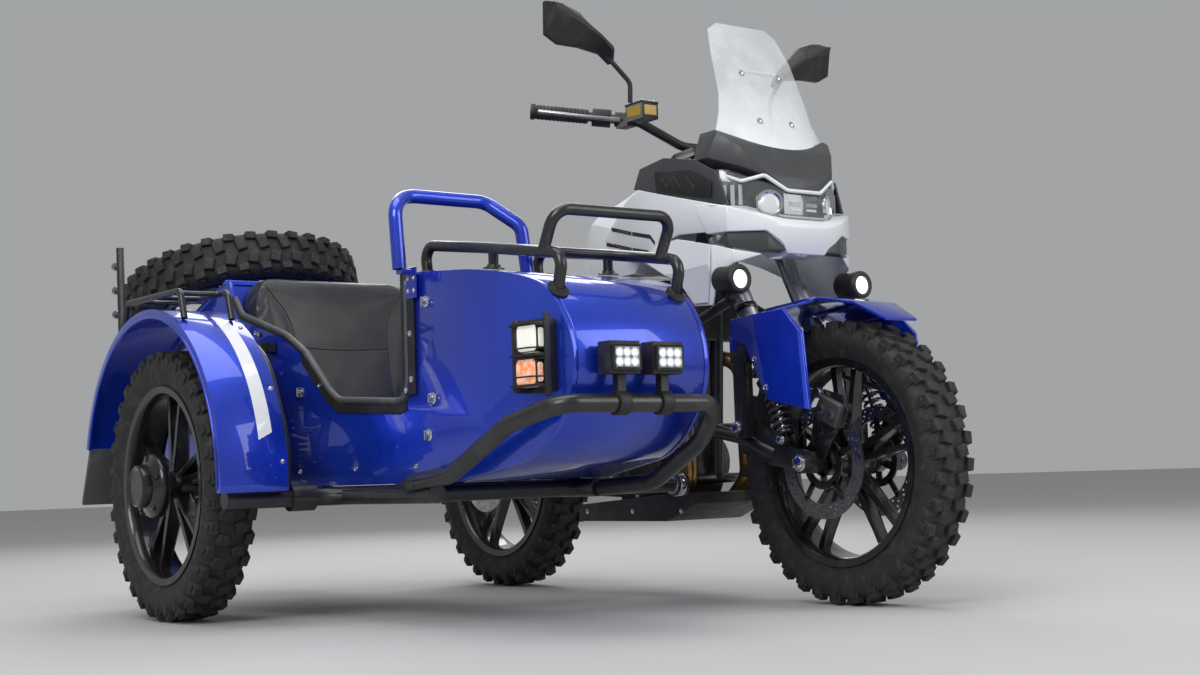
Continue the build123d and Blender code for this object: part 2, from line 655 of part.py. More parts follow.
def make_windshield():
    def crescent(middle, side):
        fall = (Vector(side[0], 0, side[2]) - Vector(middle[0], 0, middle[2])).normalized() * SCREEN_THICK
        mid, right = Vector(*middle), Vector(*side)
        left = Vector(side[0], -side[1], side[2])
        return make_face(Curve() + [
            ThreePointArc(right, mid, left),
            Line(left, left + fall),
            ThreePointArc(left + fall, mid + fall, right + fall),
            Line(right + fall, right),
        ])

    # Wide at the hem, waisted above it, and narrow at the top: middle and side point of each level
    levels = (
        ((1268, 0, 1088), (1211, -176, 1128)),
        ((1246, 0, 1146), (1199, -152, 1186)),
        ((1225, 0, 1200), (1190, -142, 1236)),
        ((1178, 0, 1322), (1152, -130, 1348)),
        ((1146, 0, 1405), (1124, -112, 1416)),
        ((1136, 0, 1432), (1120, -80, 1438)),
    )
    return loft([crescent(middle, side) for middle, side in levels], ruled=True)


def make_rider_seat():
    side = flat([(-190, 858), (-215, 886), (-60, 900), (120, 892), (190, 850), (330, 826), (500, 838),
                 (548, 868), (528, 815), (360, 788), (150, 800), (-60, 838)])
    plan = flat([(-220, -90), (-60, -125), (200, -SEAT_HALF_WIDTH), (560, -72), (560, 72),
                 (200, SEAT_HALF_WIDTH), (-60, 125), (-220, 90)])
    return side_slab(side, -160, 160) & plan_slab(plan, 700, 1000)


def make_side_covers():
    outline = flat([(150, 640), (440, 610), (520, 690), (500, 790), (360, 780), (150, 780)])
    return both_sides(side_slab(outline, 118, 132))


def make_tail_unit():
    side = flat([(-60, 800), (-190, 850), (-230, 878), (-345, 868), (-372, 838), (-300, 800), (-180, 776)])
    tail = side_slab(side, -70, 70)
    fender = side_slab(flat([(-290, 812), (-330, 812), (-448, 590), (-440, 580), (-425, 586)]), -65, 65)
    grips = tube([(-60, 128, 860), (-250, 128, 900), (-350, 60, 905), (-350, -60, 905), (-250, -128, 900),
                  (-60, -128, 860)], 18, 60)
    carrier = box((-350, -200), (-82, 82), (CARRIER_Z - CARRIER_THICK, CARRIER_Z))
    for x in (-CARRIER_PITCH_X / 2, CARRIER_PITCH_X / 2):
        for y in (-CARRIER_PITCH_Y / 2, CARRIER_PITCH_Y / 2):
            carrier -= Pos(CARRIER_X + x, y, CARRIER_Z) * Cylinder(CARRIER_HOLE / 2, 4 * CARRIER_THICK)
    feet = joined([box((-300, -286), (side * 60 - 8, side * 60 + 8), (860, CARRIER_Z - CARRIER_THICK))
                   for side in (-1, 1)])
    return tail + fender + grips + carrier + feet


def make_crash_bars():
    bar = tube([(MOUNT_TUBE_X, MOUNT_TUBE_HALF, MOUNT_TUBE_Z), (1010, 235, 480), (1040, 262, 640),
                (1150, 186, 690), (1262, 178, 730)], 24, [80, 60, 60])
    cross = rod((936, DOWN_TUBE_Y, 800), (1060, 200, 672), 20)
    return both_sides(bar + cross)


def make_fog_lamps():
    can = rod((1236, 200, 772), (1292, 200, 768), 62)
    ring = rod((1288, 200, 768.3), (1302, 200, 767.3), 70)
    bracket = box((1252, 1272), (180, 204), (722, 748))
    return both_sides(can + ring + bracket)


# Sidecar tub

def tub_side(inset=0):
    # The tub's closed outline in X and Z, inset all round by a wall
    edges = Curve() + [
        Line((TAIL_X, DECK_REAR_Z), (DECK_FRONT_X, DECK_FRONT_Z)),
        Line((DECK_FRONT_X, DECK_FRONT_Z), (CUT_FRONT_X, 790)),
        Line((CUT_FRONT_X, 790), (1175, 774)),
        ThreePointArc((1175, 774), (1300, 757), (1400, 734)),
        ThreePointArc((1400, 734), (1476, 696), (1514, 651)),
        ThreePointArc((1514, 651), (NOSE_X, 545), (1524, 469)),
        ThreePointArc((1524, 469), (1447, 389), (1320, 342)),
        Line((1320, 342), (1150, FLOOR_Z)),
        Line((1150, FLOOR_Z), (-350, FLOOR_Z)),
        Line((-350, FLOOR_Z), (TAIL_X + 25, 380)),
        Line((TAIL_X + 25, 380), (TAIL_X, DECK_REAR_Z)),
    ]
    outline = make_face(edges)
    if inset:
        outline = offset(outline, amount=-inset)
    return outline


def tub_plan(outer, inner):
    # The tub's plan between two side lines, each moved inward from the skin by an amount
    return flat([
        (TAIL_X - 50, TUB_OUTER_Y + outer), (TAPER_X, TUB_OUTER_Y + outer),
        (NOSE_X + 30, NOSE_OUTER_Y + outer), (NOSE_X + 30, NOSE_INNER_Y - inner),
        (TAPER_X, TUB_INNER_Y - inner), (TAIL_X - 50, TUB_INNER_Y - inner),
    ])


def cut_out(grow=0):
    # The scooped opening in each side of the cockpit, grown by the trim round its edge
    outline = make_face(Curve() + [
        Line((DECK_FRONT_X - 20, 1000), (DECK_FRONT_X + 60, 800)),
        Line((DECK_FRONT_X + 60, 800), (255, 762)),
        Line((255, 762), (470, 694)),
        Line((470, 694), (560, 640)),
        Line((560, 640), (665, 540)),
        ThreePointArc((665, 540), (690, 522), (722, 515)),
        Line((722, 515), (940, 503)),
        ThreePointArc((940, 503), (968, 512), (CUT_FRONT_X, 540)),
        Line((CUT_FRONT_X, 540), (CUT_FRONT_X, 1000)),
        Line((CUT_FRONT_X, 1000), (DECK_FRONT_X - 20, 1000)),
    ])
    if grow:
        outline = offset(outline, amount=grow)
    return outline


def tub_shell():
    whole = side_slab(tub_side(), -1100, -300) & plan_slab(tub_plan(0, 0), 0, 1200)
    inner = side_slab(tub_side(WALL), -1100, -300)
    between = plan_slab(tub_plan(WALL, WALL), 0, 1200)
    return whole, inner, between


def make_tub():
    # Side panels, nose skin, floor and the two bulkheads, cut open for cockpit and boot
    whole, inner, between = tub_shell()
    opening = side_slab(cut_out(TRIM_WIDTH), -1100, -300)
    sides = whole - between - opening
    middle = (TUB_OUTER_Y + TUB_INNER_Y) / 2
    skin = (whole & between) - inner
    nose = skin & box((CUT_FRONT_X + TRIM_WIDTH, 1700), (-1100, -300), (0, 1000))
    floor = skin & box((TAIL_X - 60, CUT_FRONT_X + TRIM_WIDTH), (-1100, -300), (0, 420))
    lid_zone = lid_cutter()
    rear = skin & box((TAIL_X - 60, TAIL_X + 120), (-1100, -300), (420, 1000))
    rear -= lid_zone
    bulkhead = whole & between & box((DECK_FRONT_X - WALL, DECK_FRONT_X), (-1100, -300), (0, 1000))
    bulkhead = (bulkhead & inner) - lid_zone
    seat_box = inner & between & box((DECK_FRONT_X, 600), (-1100, -300), (0, SEAT_BOX_Z))
    parts = {
        "sidecar_outer_panel": sides & box((-900, 1900), (-1100, middle), (0, 1200)),
        "sidecar_inner_panel": sides & box((-900, 1900), (middle, -300), (0, 1200)),
        "sidecar_nose_skin": nose,
        "sidecar_floor": floor + seat_box,
        "sidecar_bulkheads": rear + bulkhead,
    }
    for name in ("sidecar_outer_panel", "sidecar_inner_panel"):
        parts[name] -= lid_zone
    return parts


def deck_frame():
    # The lid's own plane: origin at its front edge, first axis towards the tail
    slope = atan2(DECK_FRONT_Z - DECK_REAR_Z, DECK_FRONT_X - TAIL_X)
    return Plane(origin=(DECK_FRONT_X, (TUB_OUTER_Y + TUB_INNER_Y) / 2, DECK_FRONT_Z),
                 x_dir=(-cos(slope), 0, -sin(slope)), z_dir=(-sin(slope), 0, cos(slope)))


def lid_cutter():
    # What the lid and its gap take from the tub's top
    zone = deck_frame() * (Pos(300, 0) * Rectangle(720, 700))
    return extrude(zone, amount=-LID_THICK - LID_RELIEF) + extrude(zone, amount=80)


def deck_length():
    return ((DECK_FRONT_X - TAIL_X) ** 2 + (DECK_FRONT_Z - DECK_REAR_Z) ** 2) ** 0.5


def make_trunk_lid():
    deck = deck_frame()
    width = TUB_INNER_Y - TUB_OUTER_Y
    length = deck_length()
    outline = Pos(42 + (length - 42) / 2 + 4, 0) * RectangleRounded(length - 42 + 8, width, 25)
    lid = extrude(deck * outline, amount=-LID_THICK)
    ribs = joined([extrude(deck * (Pos(180 + 130 * rib, 0) * Rectangle(26, width - 140)), amount=6)
                   for rib in range(3)])
    return lid + ribs


def make_lid_hinge():
    # Fixed half of the hinge at the lid's front edge
    deck = deck_frame()
    width = TUB_INNER_Y - TUB_OUTER_Y
    strip_face = Pos(17, 0) * Rectangle(34, width)
    return extrude(deck * strip_face, amount=-LID_THICK)


def lay_spare(piece):
    plane = spare_plane()
    return plane.location * (Rot(-90, 0, 0) * piece)


def spare_plane():
    deck = deck_frame()
    run = (DECK_FRONT_X - SPARE_X) / abs(deck.x_dir.X)
    off_middle = SPARE_Y - (TUB_OUTER_Y + TUB_INNER_Y) / 2
    centre = deck.origin + deck.x_dir * run + deck.z_dir * (TYRE_WIDTH / 2 + SPARE_LIFT)
    return Plane(origin=centre + Vector(0, off_middle, 0), x_dir=deck.x_dir, z_dir=deck.z_dir)


def make_spare_carrier():
    plane = spare_plane()
    bottom = -(TYRE_WIDTH / 2 + SPARE_LIFT)
    plate = extrude(plane.offset(-HUB_WIDTH / 2 - 8) * RectangleRounded(150, 150, 20), amount=8)
    feet = []
    for x in (-55, 55):
        for y in (-55, 55):
            feet.append(extrude(plane.offset(bottom) * (Pos(x, y) * Rectangle(28, 28)),
                                amount=-bottom - HUB_WIDTH / 2 - 8))
    stud = extrude(plane.offset(-HUB_WIDTH / 2) * Circle(AXLE_DIA / 2), amount=HUB_WIDTH + 22)
    nut = extrude(plane.offset(HUB_WIDTH / 2) * RegularPolygon(26, 6), amount=18)
    return joined([plate] + feet + [stud, nut])


def make_cockpit_trim():
    band = cut_out(TRIM_WIDTH) - cut_out()
    sides = side_slab(band, -1100, -300)
    sides &= box((DECK_FRONT_X + 45, CUT_FRONT_X + 60), (-1100, -300), (0, 812))
    wide = plan_slab(tub_plan(-TRIM_PROUD, -TRIM_PROUD), 0, 1200)
    core = plan_slab(tub_plan(WALL, WALL), 0, 1200)
    top_limit = side_slab(tub_side(), -1100, -300)
    sides = (sides & wide & top_limit) - core
    header = box((CUT_FRONT_X, CUT_FRONT_X + TRIM_WIDTH), (-1100, -300), (700, 830))
    header = header & core & top_limit
    lip = box((CUT_FRONT_X - 10, CUT_FRONT_X), (-1100, -300), (770, 790)) & core
    return sides + header + lip


def make_cushions():
    seat_z = SEAT_BOX_Z + SOFT_GAP
    wall_x = DECK_FRONT_X + SOFT_GAP
    base_x = BACKREST_X + SOFT_GAP
    back = flat([(wall_x, seat_z), (wall_x, 842), (190, 870), (236, 873), (262, 840), (318, 540),
                 (BACKREST_X, seat_z)])
    base = flat([(base_x, seat_z), (base_x, 520), (560, 532), (612, 505), (622, 440), (604, seat_z)])
    return side_slab(back, -945, -465) + side_slab(base, -925, -480)


def make_grab_hoop():
    return tube([(1010, -946, 792), (1002, -950, 930), (960, -900, 968), (985, -700, 962), (1045, -640, 900),
                 (1052, -630, 786)], HOOP_DIA, [45, 60, 45, 40])


def make_nose_rack():
    outer_y, inner_y = -846, -538
    pieces = []
    for y in (outer_y, inner_y):
        pieces.append(tube([(965, y, 785), (955, y, 857), (1240, y, 815), (1500, y, 772), (1478, y, 702)],
                           RACK_TOP_DIA, [30, 400, 30]))
        pieces.append(rod((1240, y, 771), (1240, y, 812), RACK_DIA))
    hoop = tube([(1430, outer_y, 786), (1475, outer_y, 868), (1475, inner_y, 868), (1430, inner_y, 786)],
                RACK_TOP_DIA, [38, 38])
    pieces.append(hoop)
    for x, z in ((1010, 849), (1120, 833), (1240, 815)):
        pieces.append(rod((x, outer_y, z), (x, inner_y, z), RACK_DIA))
    return joined(pieces)


def make_light_bar():
    outer = [(1052, -948, 318), (1200, -944, 330), (1420, -938, 428), (1580, -922, 462)]
    inner = [(1580, -520, 462), (1512, -512, 384), (1330, -500, 300), (1140, -500, RAIL_Z)]
    bar = tube(outer + inner, BUMPER_DIA, [160, 160, 48, 48, 120, 160])
    outer_foot = box((1030, 1075), (-965, -931), (300, 326))
    return bar + outer_foot


def make_led_lamps():
    lamps = []
    for y in (-775, -665):
        body = box((1562, 1602), (y - 38, y + 38), (520, 586))
        lens = box((1602, 1607), (y - 32, y + 32), (530, 576))
        fins = joined([box((1552, 1562), (y - 34, y + 34), (526 + 12 * fin, 530 + 12 * fin))
                       for fin in range(5)])
        stem = box((1571, 1589), (y - 10, y + 10), (478, 520))
        clamp = rod((1580, y - 14, 462), (1580, y + 14, 462), BUMPER_DIA + 12)
        lamps.append(body + lens + fins + stem + clamp)
    return joined(lamps)


def make_marker_lamp():
    # Set on the outer panel's slanting front part
    slope = atan2(NOSE_OUTER_Y - TUB_OUTER_Y, NOSE_X + 30 - TAPER_X)
    x = 1455
    y = TUB_OUTER_Y + (x - TAPER_X) * tan(slope)
    face_plane = Plane(origin=(x, y, 565), x_dir=(cos(slope), sin(slope), 0),
                       z_dir=(sin(slope), -cos(slope), 0))
    base = extrude(face_plane * RectangleRounded(84, 150, 12), amount=16)
    lens = extrude(face_plane.offset(16) * (Pos(0, 35) * RectangleRounded(64, 58, 8)), amount=30)
    amber = extrude(face_plane.offset(16) * (Pos(0, -35) * RectangleRounded(64, 58, 8)), amount=34)
    guard = joined([extrude(face_plane.offset(14) * (Pos(0, height) * Rectangle(84, 6)), amount=44)
                    - extrude(face_plane.offset(14) * (Pos(0, height) * Rectangle(70, 8)), amount=38)
                    for height in (-62, 0, 62)])
    return base + lens + amber + guard


def make_sidecar_frame():
    cross = rod((700, -1235, RAIL_Z), (700, -190, RAIL_Z), RAIL_DIA)
    rails = [rod((-330, y, RAIL_Z), (1120, y, RAIL_Z), RAIL_DIA) for y in (OUTER_RAIL_Y, INNER_RAIL_Y)]
    front_cross = rod((1050, OUTER_RAIL_Y, RAIL_Z), (1050, -222, RAIL_Z), RAIL_DIA - 4)
    rear_cross = rod((-120, -960, RAIL_Z), (-120, -480, RAIL_Z), RAIL_DIA - 4)
    frame = joined([cross] + rails + [front_cross, rear_cross])
    frame += rod((40, INNER_RAIL_Y, RAIL_Z), (40, -320, RAIL_Z), RAIL_DIA - 4)
    frame += rod((700, -1075, RAIL_Z), (700, -1015, RAIL_Z), 62)
    for x in (-250, 480, 1000):
        for y in (OUTER_RAIL_Y, INNER_RAIL_Y):
            frame += box((x - 30, x + 30), (y - 18, y + 18), (RAIL_Z, FLOOR_Z))
    return frame


def make_couplings():
    # Ball joint in front, clamp behind, and two struts up to the motorcycle's frame
    front = rod((1050, -222, RAIL_Z), (1050, -190, RAIL_Z), 58)
    front += rod((1050, -196, RAIL_Z), (MOUNT_TUBE_X, -MOUNT_TUBE_HALF - 6, MOUNT_TUBE_Z), 30)
    outside = SWING_Y + SWING_WIDTH / 2
    rear = rod((695, -200, RAIL_Z), (SWING_PIVOT_X, -outside - 18, SWING_PIVOT_Z), 32)
    rear += rod((SWING_PIVOT_X, -outside - 36, SWING_PIVOT_Z), (SWING_PIVOT_X, -outside, SWING_PIVOT_Z), 46)
    upper_front = rod((1050, -400, RAIL_Z + 8), (650, -SPAR_Y - 20, 758), 26)
    upper_rear = rod((40, -335, RAIL_Z), (400, -118, 566), 26)
    eyes = rod((650, -SPAR_Y - 34, 762), (650, -SPAR_Y - 17, 762), 44)
    return joined([front, rear, upper_front, upper_rear, eyes])


def make_sidecar_suspension():
    # Trailing arm, stub axle and shock absorber
    arm = rod((700, -1045, RAIL_Z + 1), (SIDE_AXLE_X, -1045, TYRE_RADIUS), 40)
    knuckle = rod((SIDE_AXLE_X, -1020, TYRE_RADIUS), (SIDE_AXLE_X, -1078, TYRE_RADIUS), 64)
    axle_tip = SIDE_AXLE_Y - HUB_WIDTH / 2 - 24
    axle = rod((SIDE_AXLE_X, -1050, TYRE_RADIUS), (SIDE_AXLE_X, axle_tip, TYRE_RADIUS), AXLE_DIA)
    low, high = Vector(372, -1045, 332), Vector(402, -1040, 672)
    run = (high - low).normalized()
    shock = rod(tuple(low), tuple(high), 20)
    shock += rod(tuple(low + run * 180), tuple(low + run * 300), 40)
    for turn in range(7):
        shock += rod(tuple(low + run * (40 + 20 * turn)), tuple(low + run * (51 + 20 * turn)), 58)
    bracket = box((380, 424), (-1062, TUB_OUTER_Y + WALL), (652, 676))
    return joined([arm, knuckle, axle, shock, bracket])


def arc_band(radius_in, radius_out, start, end):
    # A ring sector about the sidecar axle, angles in degrees up from straight ahead
    def at(radius, angle):
        turn = radians(angle)
        return SIDE_AXLE_X + radius * cos(turn), TYRE_RADIUS + radius * sin(turn)

    middle = (start + end) / 2
    return make_face(Curve() + [
        ThreePointArc(at(radius_out, start), at(radius_out, middle), at(radius_out, end)),
        Line(at(radius_out, end), at(radius_in, end)),
        ThreePointArc(at(radius_in, end), at(radius_in, middle), at(radius_in, start)),
        Line(at(radius_in, start), at(radius_out, start)),
    ])


def make_sidecar_mudguard():
    start, end = GUARD_START, GUARD_END
    sheet = side_slab(arc_band(GUARD_RADIUS - GUARD_SHEET, GUARD_RADIUS, start, end),
                      GUARD_OUTER_Y, GUARD_INNER_Y)
    lip = side_slab(arc_band(GUARD_RADIUS - GUARD_LIP, GUARD_RADIUS - GUARD_SHEET, start, end),
                    GUARD_OUTER_Y, GUARD_OUTER_Y + GUARD_SHEET)
    inner_lip = side_slab(arc_band(GUARD_RADIUS - GUARD_LIP, GUARD_RADIUS - GUARD_SHEET, start, end),
                          GUARD_INNER_Y - GUARD_SHEET, GUARD_INNER_Y)
    return sheet + lip + inner_lip


def make_mudguard_flap():
    hem_x = SIDE_AXLE_X + GUARD_RADIUS * cos(radians(GUARD_END))
    hem_z = TYRE_RADIUS + GUARD_RADIUS * sin(radians(GUARD_END))
    flap = side_slab(flat([(hem_x + 15, hem_z - 1), (hem_x + 1, hem_z - 1), (hem_x - 61, hem_z - 141),
                           (hem_x - 53, hem_z - 147)]), GUARD_OUTER_Y + 8, GUARD_INNER_Y - 8)
    return flap


def make_mudguard_stays():
    # Tube along the mudguard's inner edge, from the cross tube back to the tail
    radius = GUARD_RADIUS - 10
    y = GUARD_INNER_Y + RACK_DIA / 2
    points = []
    for angle in (8, 44, 84, 122):
        turn = radians(angle)
        points.append((SIDE_AXLE_X + radius * cos(turn), y, TYRE_RADIUS + radius * sin(turn)))
    stay = tube([(704, y, 304)] + points + [(-20, y, 560), (-66, -978, 470)], RACK_DIA,
                [200, 200, 200, 60, 40])
    return stay


def make_mudguard_rack():
    top_z = TYRE_RADIUS + GUARD_RADIUS
    outer_y, inner_y = -1238, -1118
    rails = []
    for y in (outer_y, inner_y):
        rails.append(tube([(500, y, top_z - 36), (478, y, top_z + 32), (140, y, top_z + 34),
                           (112, y, top_z - 42)], 16, [25, 25]))
    crosses = [rod((x, outer_y, top_z + 33), (x, inner_y, top_z + 33), 12) for x in (200, 310, 420)]
    return joined(rails + crosses)


def make_rear_post():
    post = rod((-436, -1030, 560), (-452, -1030, 1020), 22)
    foot = box((-456, -424), (-1041, TUB_OUTER_Y - SOFT_GAP), (556, 590))
    studs = joined([rod((-452, -1030, z), (-484, -1030, z), 14) for z in (830, 900, 970)])
    return post + foot + studs


def make_tail_lamps():
    return joined([rod((TAIL_X + 8, y, 560), (TAIL_X - 22, y, 560), 72) for y in (-900, -510)])


def make_hub_cap():
    cap = rod((SIDE_AXLE_X, SIDE_AXLE_Y - HUB_WIDTH / 2 - 26, TYRE_RADIUS),
              (SIDE_AXLE_X, SIDE_AXLE_Y - HUB_WIDTH / 2, TYRE_RADIUS), 100)
    cap += rod((SIDE_AXLE_X, SIDE_AXLE_Y - HUB_WIDTH / 2 - 60, TYRE_RADIUS),
               (SIDE_AXLE_X, SIDE_AXLE_Y - HUB_WIDTH / 2 - 26, TYRE_RADIUS), 62)
    bore = AXLE_DIA + 2 * RUNNING_GAP
    return cap - rod((SIDE_AXLE_X, SIDE_AXLE_Y - HUB_WIDTH / 2 - 24.5, TYRE_RADIUS),
                     (SIDE_AXLE_X, SIDE_AXLE_Y, TYRE_RADIUS), bore)


def make_parts():
    tyre = make_tyre()
    rim = make_rim(AXLE_DIA / 2 + RUNNING_GAP)
    parts = {
        "frame": make_frame() + make_crash_bars(),
        "engine": make_engine() + make_radiator(),
        "drive_chain": make_drive_chain(),
        "exhaust": make_exhaust(),
        "belly_pan": make_belly_pan(),
        "swingarm": make_swingarm(),
        "rear_shock": make_rear_shock(),
        "front_fork": make_front_fork(),
        "front_links": make_front_links(),
        "front_calipers": make_calipers(),
        "front_shocks": make_front_shocks(),
        "front_mudguard": make_front_mudguard(),
        "handlebar": make_handlebar(),
        "hand_controls": make_hand_controls(),
        "mirrors": make_mirrors(),
        "fuel_tank": make_fuel_tank(),
        "side_shrouds": make_side_shrouds(),
        "nose_cowl": make_nose_cowl(),
        "headlamp": make_headlamp(),
        "dash_cowl": make_dash_cowl(),
        "windshield": make_windshield(),
        "rider_seat": make_rider_seat(),
        "tail_unit": make_tail_unit() + make_side_covers(),
        "auxiliary_lamps": make_fog_lamps() + make_led_lamps(),
        "marker_lamps": make_marker_lamp() + make_tail_lamps(),
        "front_tyre": placed(tyre, WHEELBASE, 0),
        "front_rim": placed(rim, WHEELBASE, 0),
        "front_discs": placed(make_front_discs(), WHEELBASE, 0),
        "rear_tyre": placed(tyre, 0, 0),
        "rear_rim": placed(rim, 0, 0),
        "rear_sprocket": placed(make_rear_sprocket(), 0, 0),
        "sidecar_tyre": placed(tyre, SIDE_AXLE_X, SIDE_AXLE_Y),
        "sidecar_rim": placed(rim, SIDE_AXLE_X, SIDE_AXLE_Y) + make_hub_cap(),
        "spare_tyre": lay_spare(tyre),
        "spare_rim": lay_spare(rim),
        "spare_carrier": make_spare_carrier(),
        "trunk_lid": make_trunk_lid(),
        "cockpit_trim": make_cockpit_trim(),
        "sidecar_cushions": make_cushions(),
        "grab_hoop": make_grab_hoop(),
        "luggage_racks": make_nose_rack() + make_mudguard_rack() + make_rear_post(),
        "light_bar": make_light_bar(),
        "sidecar_frame": make_sidecar_frame() + make_couplings(),
        "mudguard_stays": make_mudguard_stays(),
        "sidecar_suspension": make_sidecar_suspension(),
        "sidecar_mudguard": make_sidecar_mudguard() + make_mudguard_flap(),
    }
    tub = make_tub()
    tub["sidecar_bulkheads"] += make_lid_hinge()
    parts.update(tub)
    # Each piece on the left is shaped to fit round the ones it is seated on
    for piece, seats in (
        ("fuel_tank", ("frame",)),
        ("engine", ("frame",)),
        ("exhaust", ("engine",)),
        ("rider_seat", ("fuel_tank", "tail_unit", "frame")),
        ("tail_unit", ("frame",)),
        ("front_calipers", ("front_links",)),
        ("front_shocks", ("front_fork", "front_links")),
        ("front_mudguard", ("front_fork", "front_shocks")),
        ("front_fork", ("handlebar",)),
        ("mirrors", ("hand_controls",)),
        ("auxiliary_lamps", ("frame", "light_bar", "side_shrouds")),
        ("light_bar", ("sidecar_frame",)),
        ("luggage_racks", ("cockpit_trim", "sidecar_mudguard", "sidecar_nose_skin", "sidecar_outer_panel")),
        ("grab_hoop", ("sidecar_nose_skin",)),
        ("marker_lamps", ("sidecar_bulkheads", "sidecar_outer_panel")),
        ("mudguard_stays", ("sidecar_outer_panel", "sidecar_frame")),
        ("rear_shock", ("swingarm", "frame")),
        ("sidecar_frame", ("frame", "sidecar_floor")),
        ("sidecar_suspension", ("sidecar_frame", "sidecar_outer_panel", "cockpit_trim")),
        ("nose_cowl", ("side_shrouds",)),
        ("headlamp", ("nose_cowl", "side_shrouds", "frame")),
        ("dash_cowl", ("headlamp", "nose_cowl", "side_shrouds", "fuel_tank")),
        ("windshield", ("dash_cowl",)),
    ):
        for seat in seats:
            parts[piece] -= parts[seat]
    return parts


def main():
    os.makedirs("parts", exist_ok=True)
    for name, part in make_parts().items():
        export_step(Pos(-ORIGIN_X, -ORIGIN_Y, 0) * part, f"parts/{name}.step")


main()
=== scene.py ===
import json
from math import atan2, cos, pi, radians, sin

import bpy
from mathutils import Matrix, Vector

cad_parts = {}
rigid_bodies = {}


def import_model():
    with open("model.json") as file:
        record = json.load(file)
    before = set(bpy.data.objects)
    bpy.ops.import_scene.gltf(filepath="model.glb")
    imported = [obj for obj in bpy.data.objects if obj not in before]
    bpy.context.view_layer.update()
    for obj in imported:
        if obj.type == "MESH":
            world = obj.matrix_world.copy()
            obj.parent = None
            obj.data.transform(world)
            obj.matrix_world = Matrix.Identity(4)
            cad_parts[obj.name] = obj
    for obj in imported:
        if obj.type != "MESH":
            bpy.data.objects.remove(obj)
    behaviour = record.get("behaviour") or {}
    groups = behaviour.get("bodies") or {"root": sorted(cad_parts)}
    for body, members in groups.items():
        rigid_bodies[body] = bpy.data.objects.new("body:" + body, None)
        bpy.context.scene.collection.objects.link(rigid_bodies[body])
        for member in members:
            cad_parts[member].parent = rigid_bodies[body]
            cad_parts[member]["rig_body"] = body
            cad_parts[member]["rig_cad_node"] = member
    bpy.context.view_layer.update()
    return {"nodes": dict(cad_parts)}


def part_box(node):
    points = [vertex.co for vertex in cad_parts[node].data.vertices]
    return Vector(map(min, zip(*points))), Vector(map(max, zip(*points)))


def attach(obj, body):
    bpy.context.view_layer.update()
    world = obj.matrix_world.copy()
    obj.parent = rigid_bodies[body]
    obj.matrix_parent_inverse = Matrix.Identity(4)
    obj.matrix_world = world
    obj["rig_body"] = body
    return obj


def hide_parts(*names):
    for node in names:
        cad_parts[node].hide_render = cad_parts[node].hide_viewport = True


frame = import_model()

# Rear axle to the frame's origin: the CAD source draws from the rear axle, in millimetres
originShift = Vector((-0.626, 0.412, 0))


def at(x, y, z):
    return Vector((x, y, z)) / 1000 + originShift


# Selecting and editing

def deselect():
    if bpy.context.mode != "OBJECT":
        bpy.ops.object.mode_set(mode="OBJECT")
    bpy.ops.object.select_all(action="DESELECT")


def pick(piece, *others):
    deselect()
    for one in (piece,) + others:
        one.select_set(True)
    bpy.context.view_layer.objects.active = piece


def editAll(piece, kind="FACE"):
    # Edit mode with everything selected; kind is FACE, EDGE or VERT
    pick(piece)
    bpy.ops.object.mode_set(mode="EDIT")
    bpy.ops.mesh.select_mode(type=kind)
    bpy.ops.mesh.select_all(action="SELECT")


def editFaces(piece, wanted):
    # Selects the faces that pass the test on centre and normal, and leaves edit mode on
    pick(piece)
    mesh = piece.data
    for vertex in mesh.vertices:
        vertex.select = False
    for edge in mesh.edges:
        edge.select = False
    for face in mesh.polygons:
        face.select = bool(wanted(face.center, face.normal))
    bpy.ops.object.mode_set(mode="EDIT")
    bpy.ops.mesh.select_mode(type="FACE")


def editEdges(piece, wanted):
    # The same for edges, tested on their two ends
    pick(piece)
    mesh = piece.data
    for face in mesh.polygons:
        face.select = False
    for vertex in mesh.vertices:
        vertex.select = False
    points = mesh.vertices
    for edge in mesh.edges:
        edge.select = bool(wanted(points[edge.vertices[0]].co, points[edge.vertices[1]].co))
    bpy.ops.object.mode_set(mode="EDIT")
    bpy.ops.mesh.select_mode(type="EDGE")


def leaveEdit():
    bpy.ops.object.mode_set(mode="OBJECT")


def applyModifier(piece, kind, **settings):
    pick(piece)
    modifier = piece.modifiers.new(kind.lower(), kind)
    for key, value in settings.items():
        setattr(modifier, key, value)
    bpy.ops.object.modifier_apply(modifier=modifier.name)


def settle(piece):
    # Place, turn and scale go into the mesh
    pick(piece)
    bpy.ops.object.transform_apply(location=True, rotation=True, scale=True)
    return piece


def smooth(piece, angle=32):
    pick(piece)
    bpy.ops.object.shade_smooth_by_angle(angle=radians(angle))
    return piece


def outward(piece):
    editAll(piece)
    bpy.ops.mesh.remove_doubles(threshold=0.00005)
    bpy.ops.mesh.normals_make_consistent(inside=False)
    leaveEdit()
    return piece


def bevelEdges(piece, width, segments=2, angle=30):
    applyModifier(piece, "BEVEL", width=width, segments=segments, limit_method="ANGLE",
                  angle_limit=radians(angle), harden_normals=False)
    return piece


def block(name, middle, size, bevel=0.002, segments=2):
    deselect()
    bpy.ops.mesh.primitive_cube_add(size=1, location=middle)
    piece = bpy.context.object
    piece.name = name
    piece.scale = size
    settle(piece)
    if bevel:
        bevelEdges(piece, bevel, segments)
    return piece


def roundBar(name, start, end, diameter, sides=24, bevel=0.001):
    start, end = Vector(start), Vector(end)
    run = end - start
    deselect()
    bpy.ops.mesh.primitive_cylinder_add(vertices=sides, radius=diameter / 2, depth=run.length,
                                        location=(start + end) / 2)
    piece = bpy.context.object
    piece.name = name
    piece.rotation_mode = "QUATERNION"
    piece.rotation_quaternion = run.to_track_quat("Z", "Y")
    settle(piece)
    if bevel:
        bevelEdges(piece, bevel, 2)
    return smooth(piece)


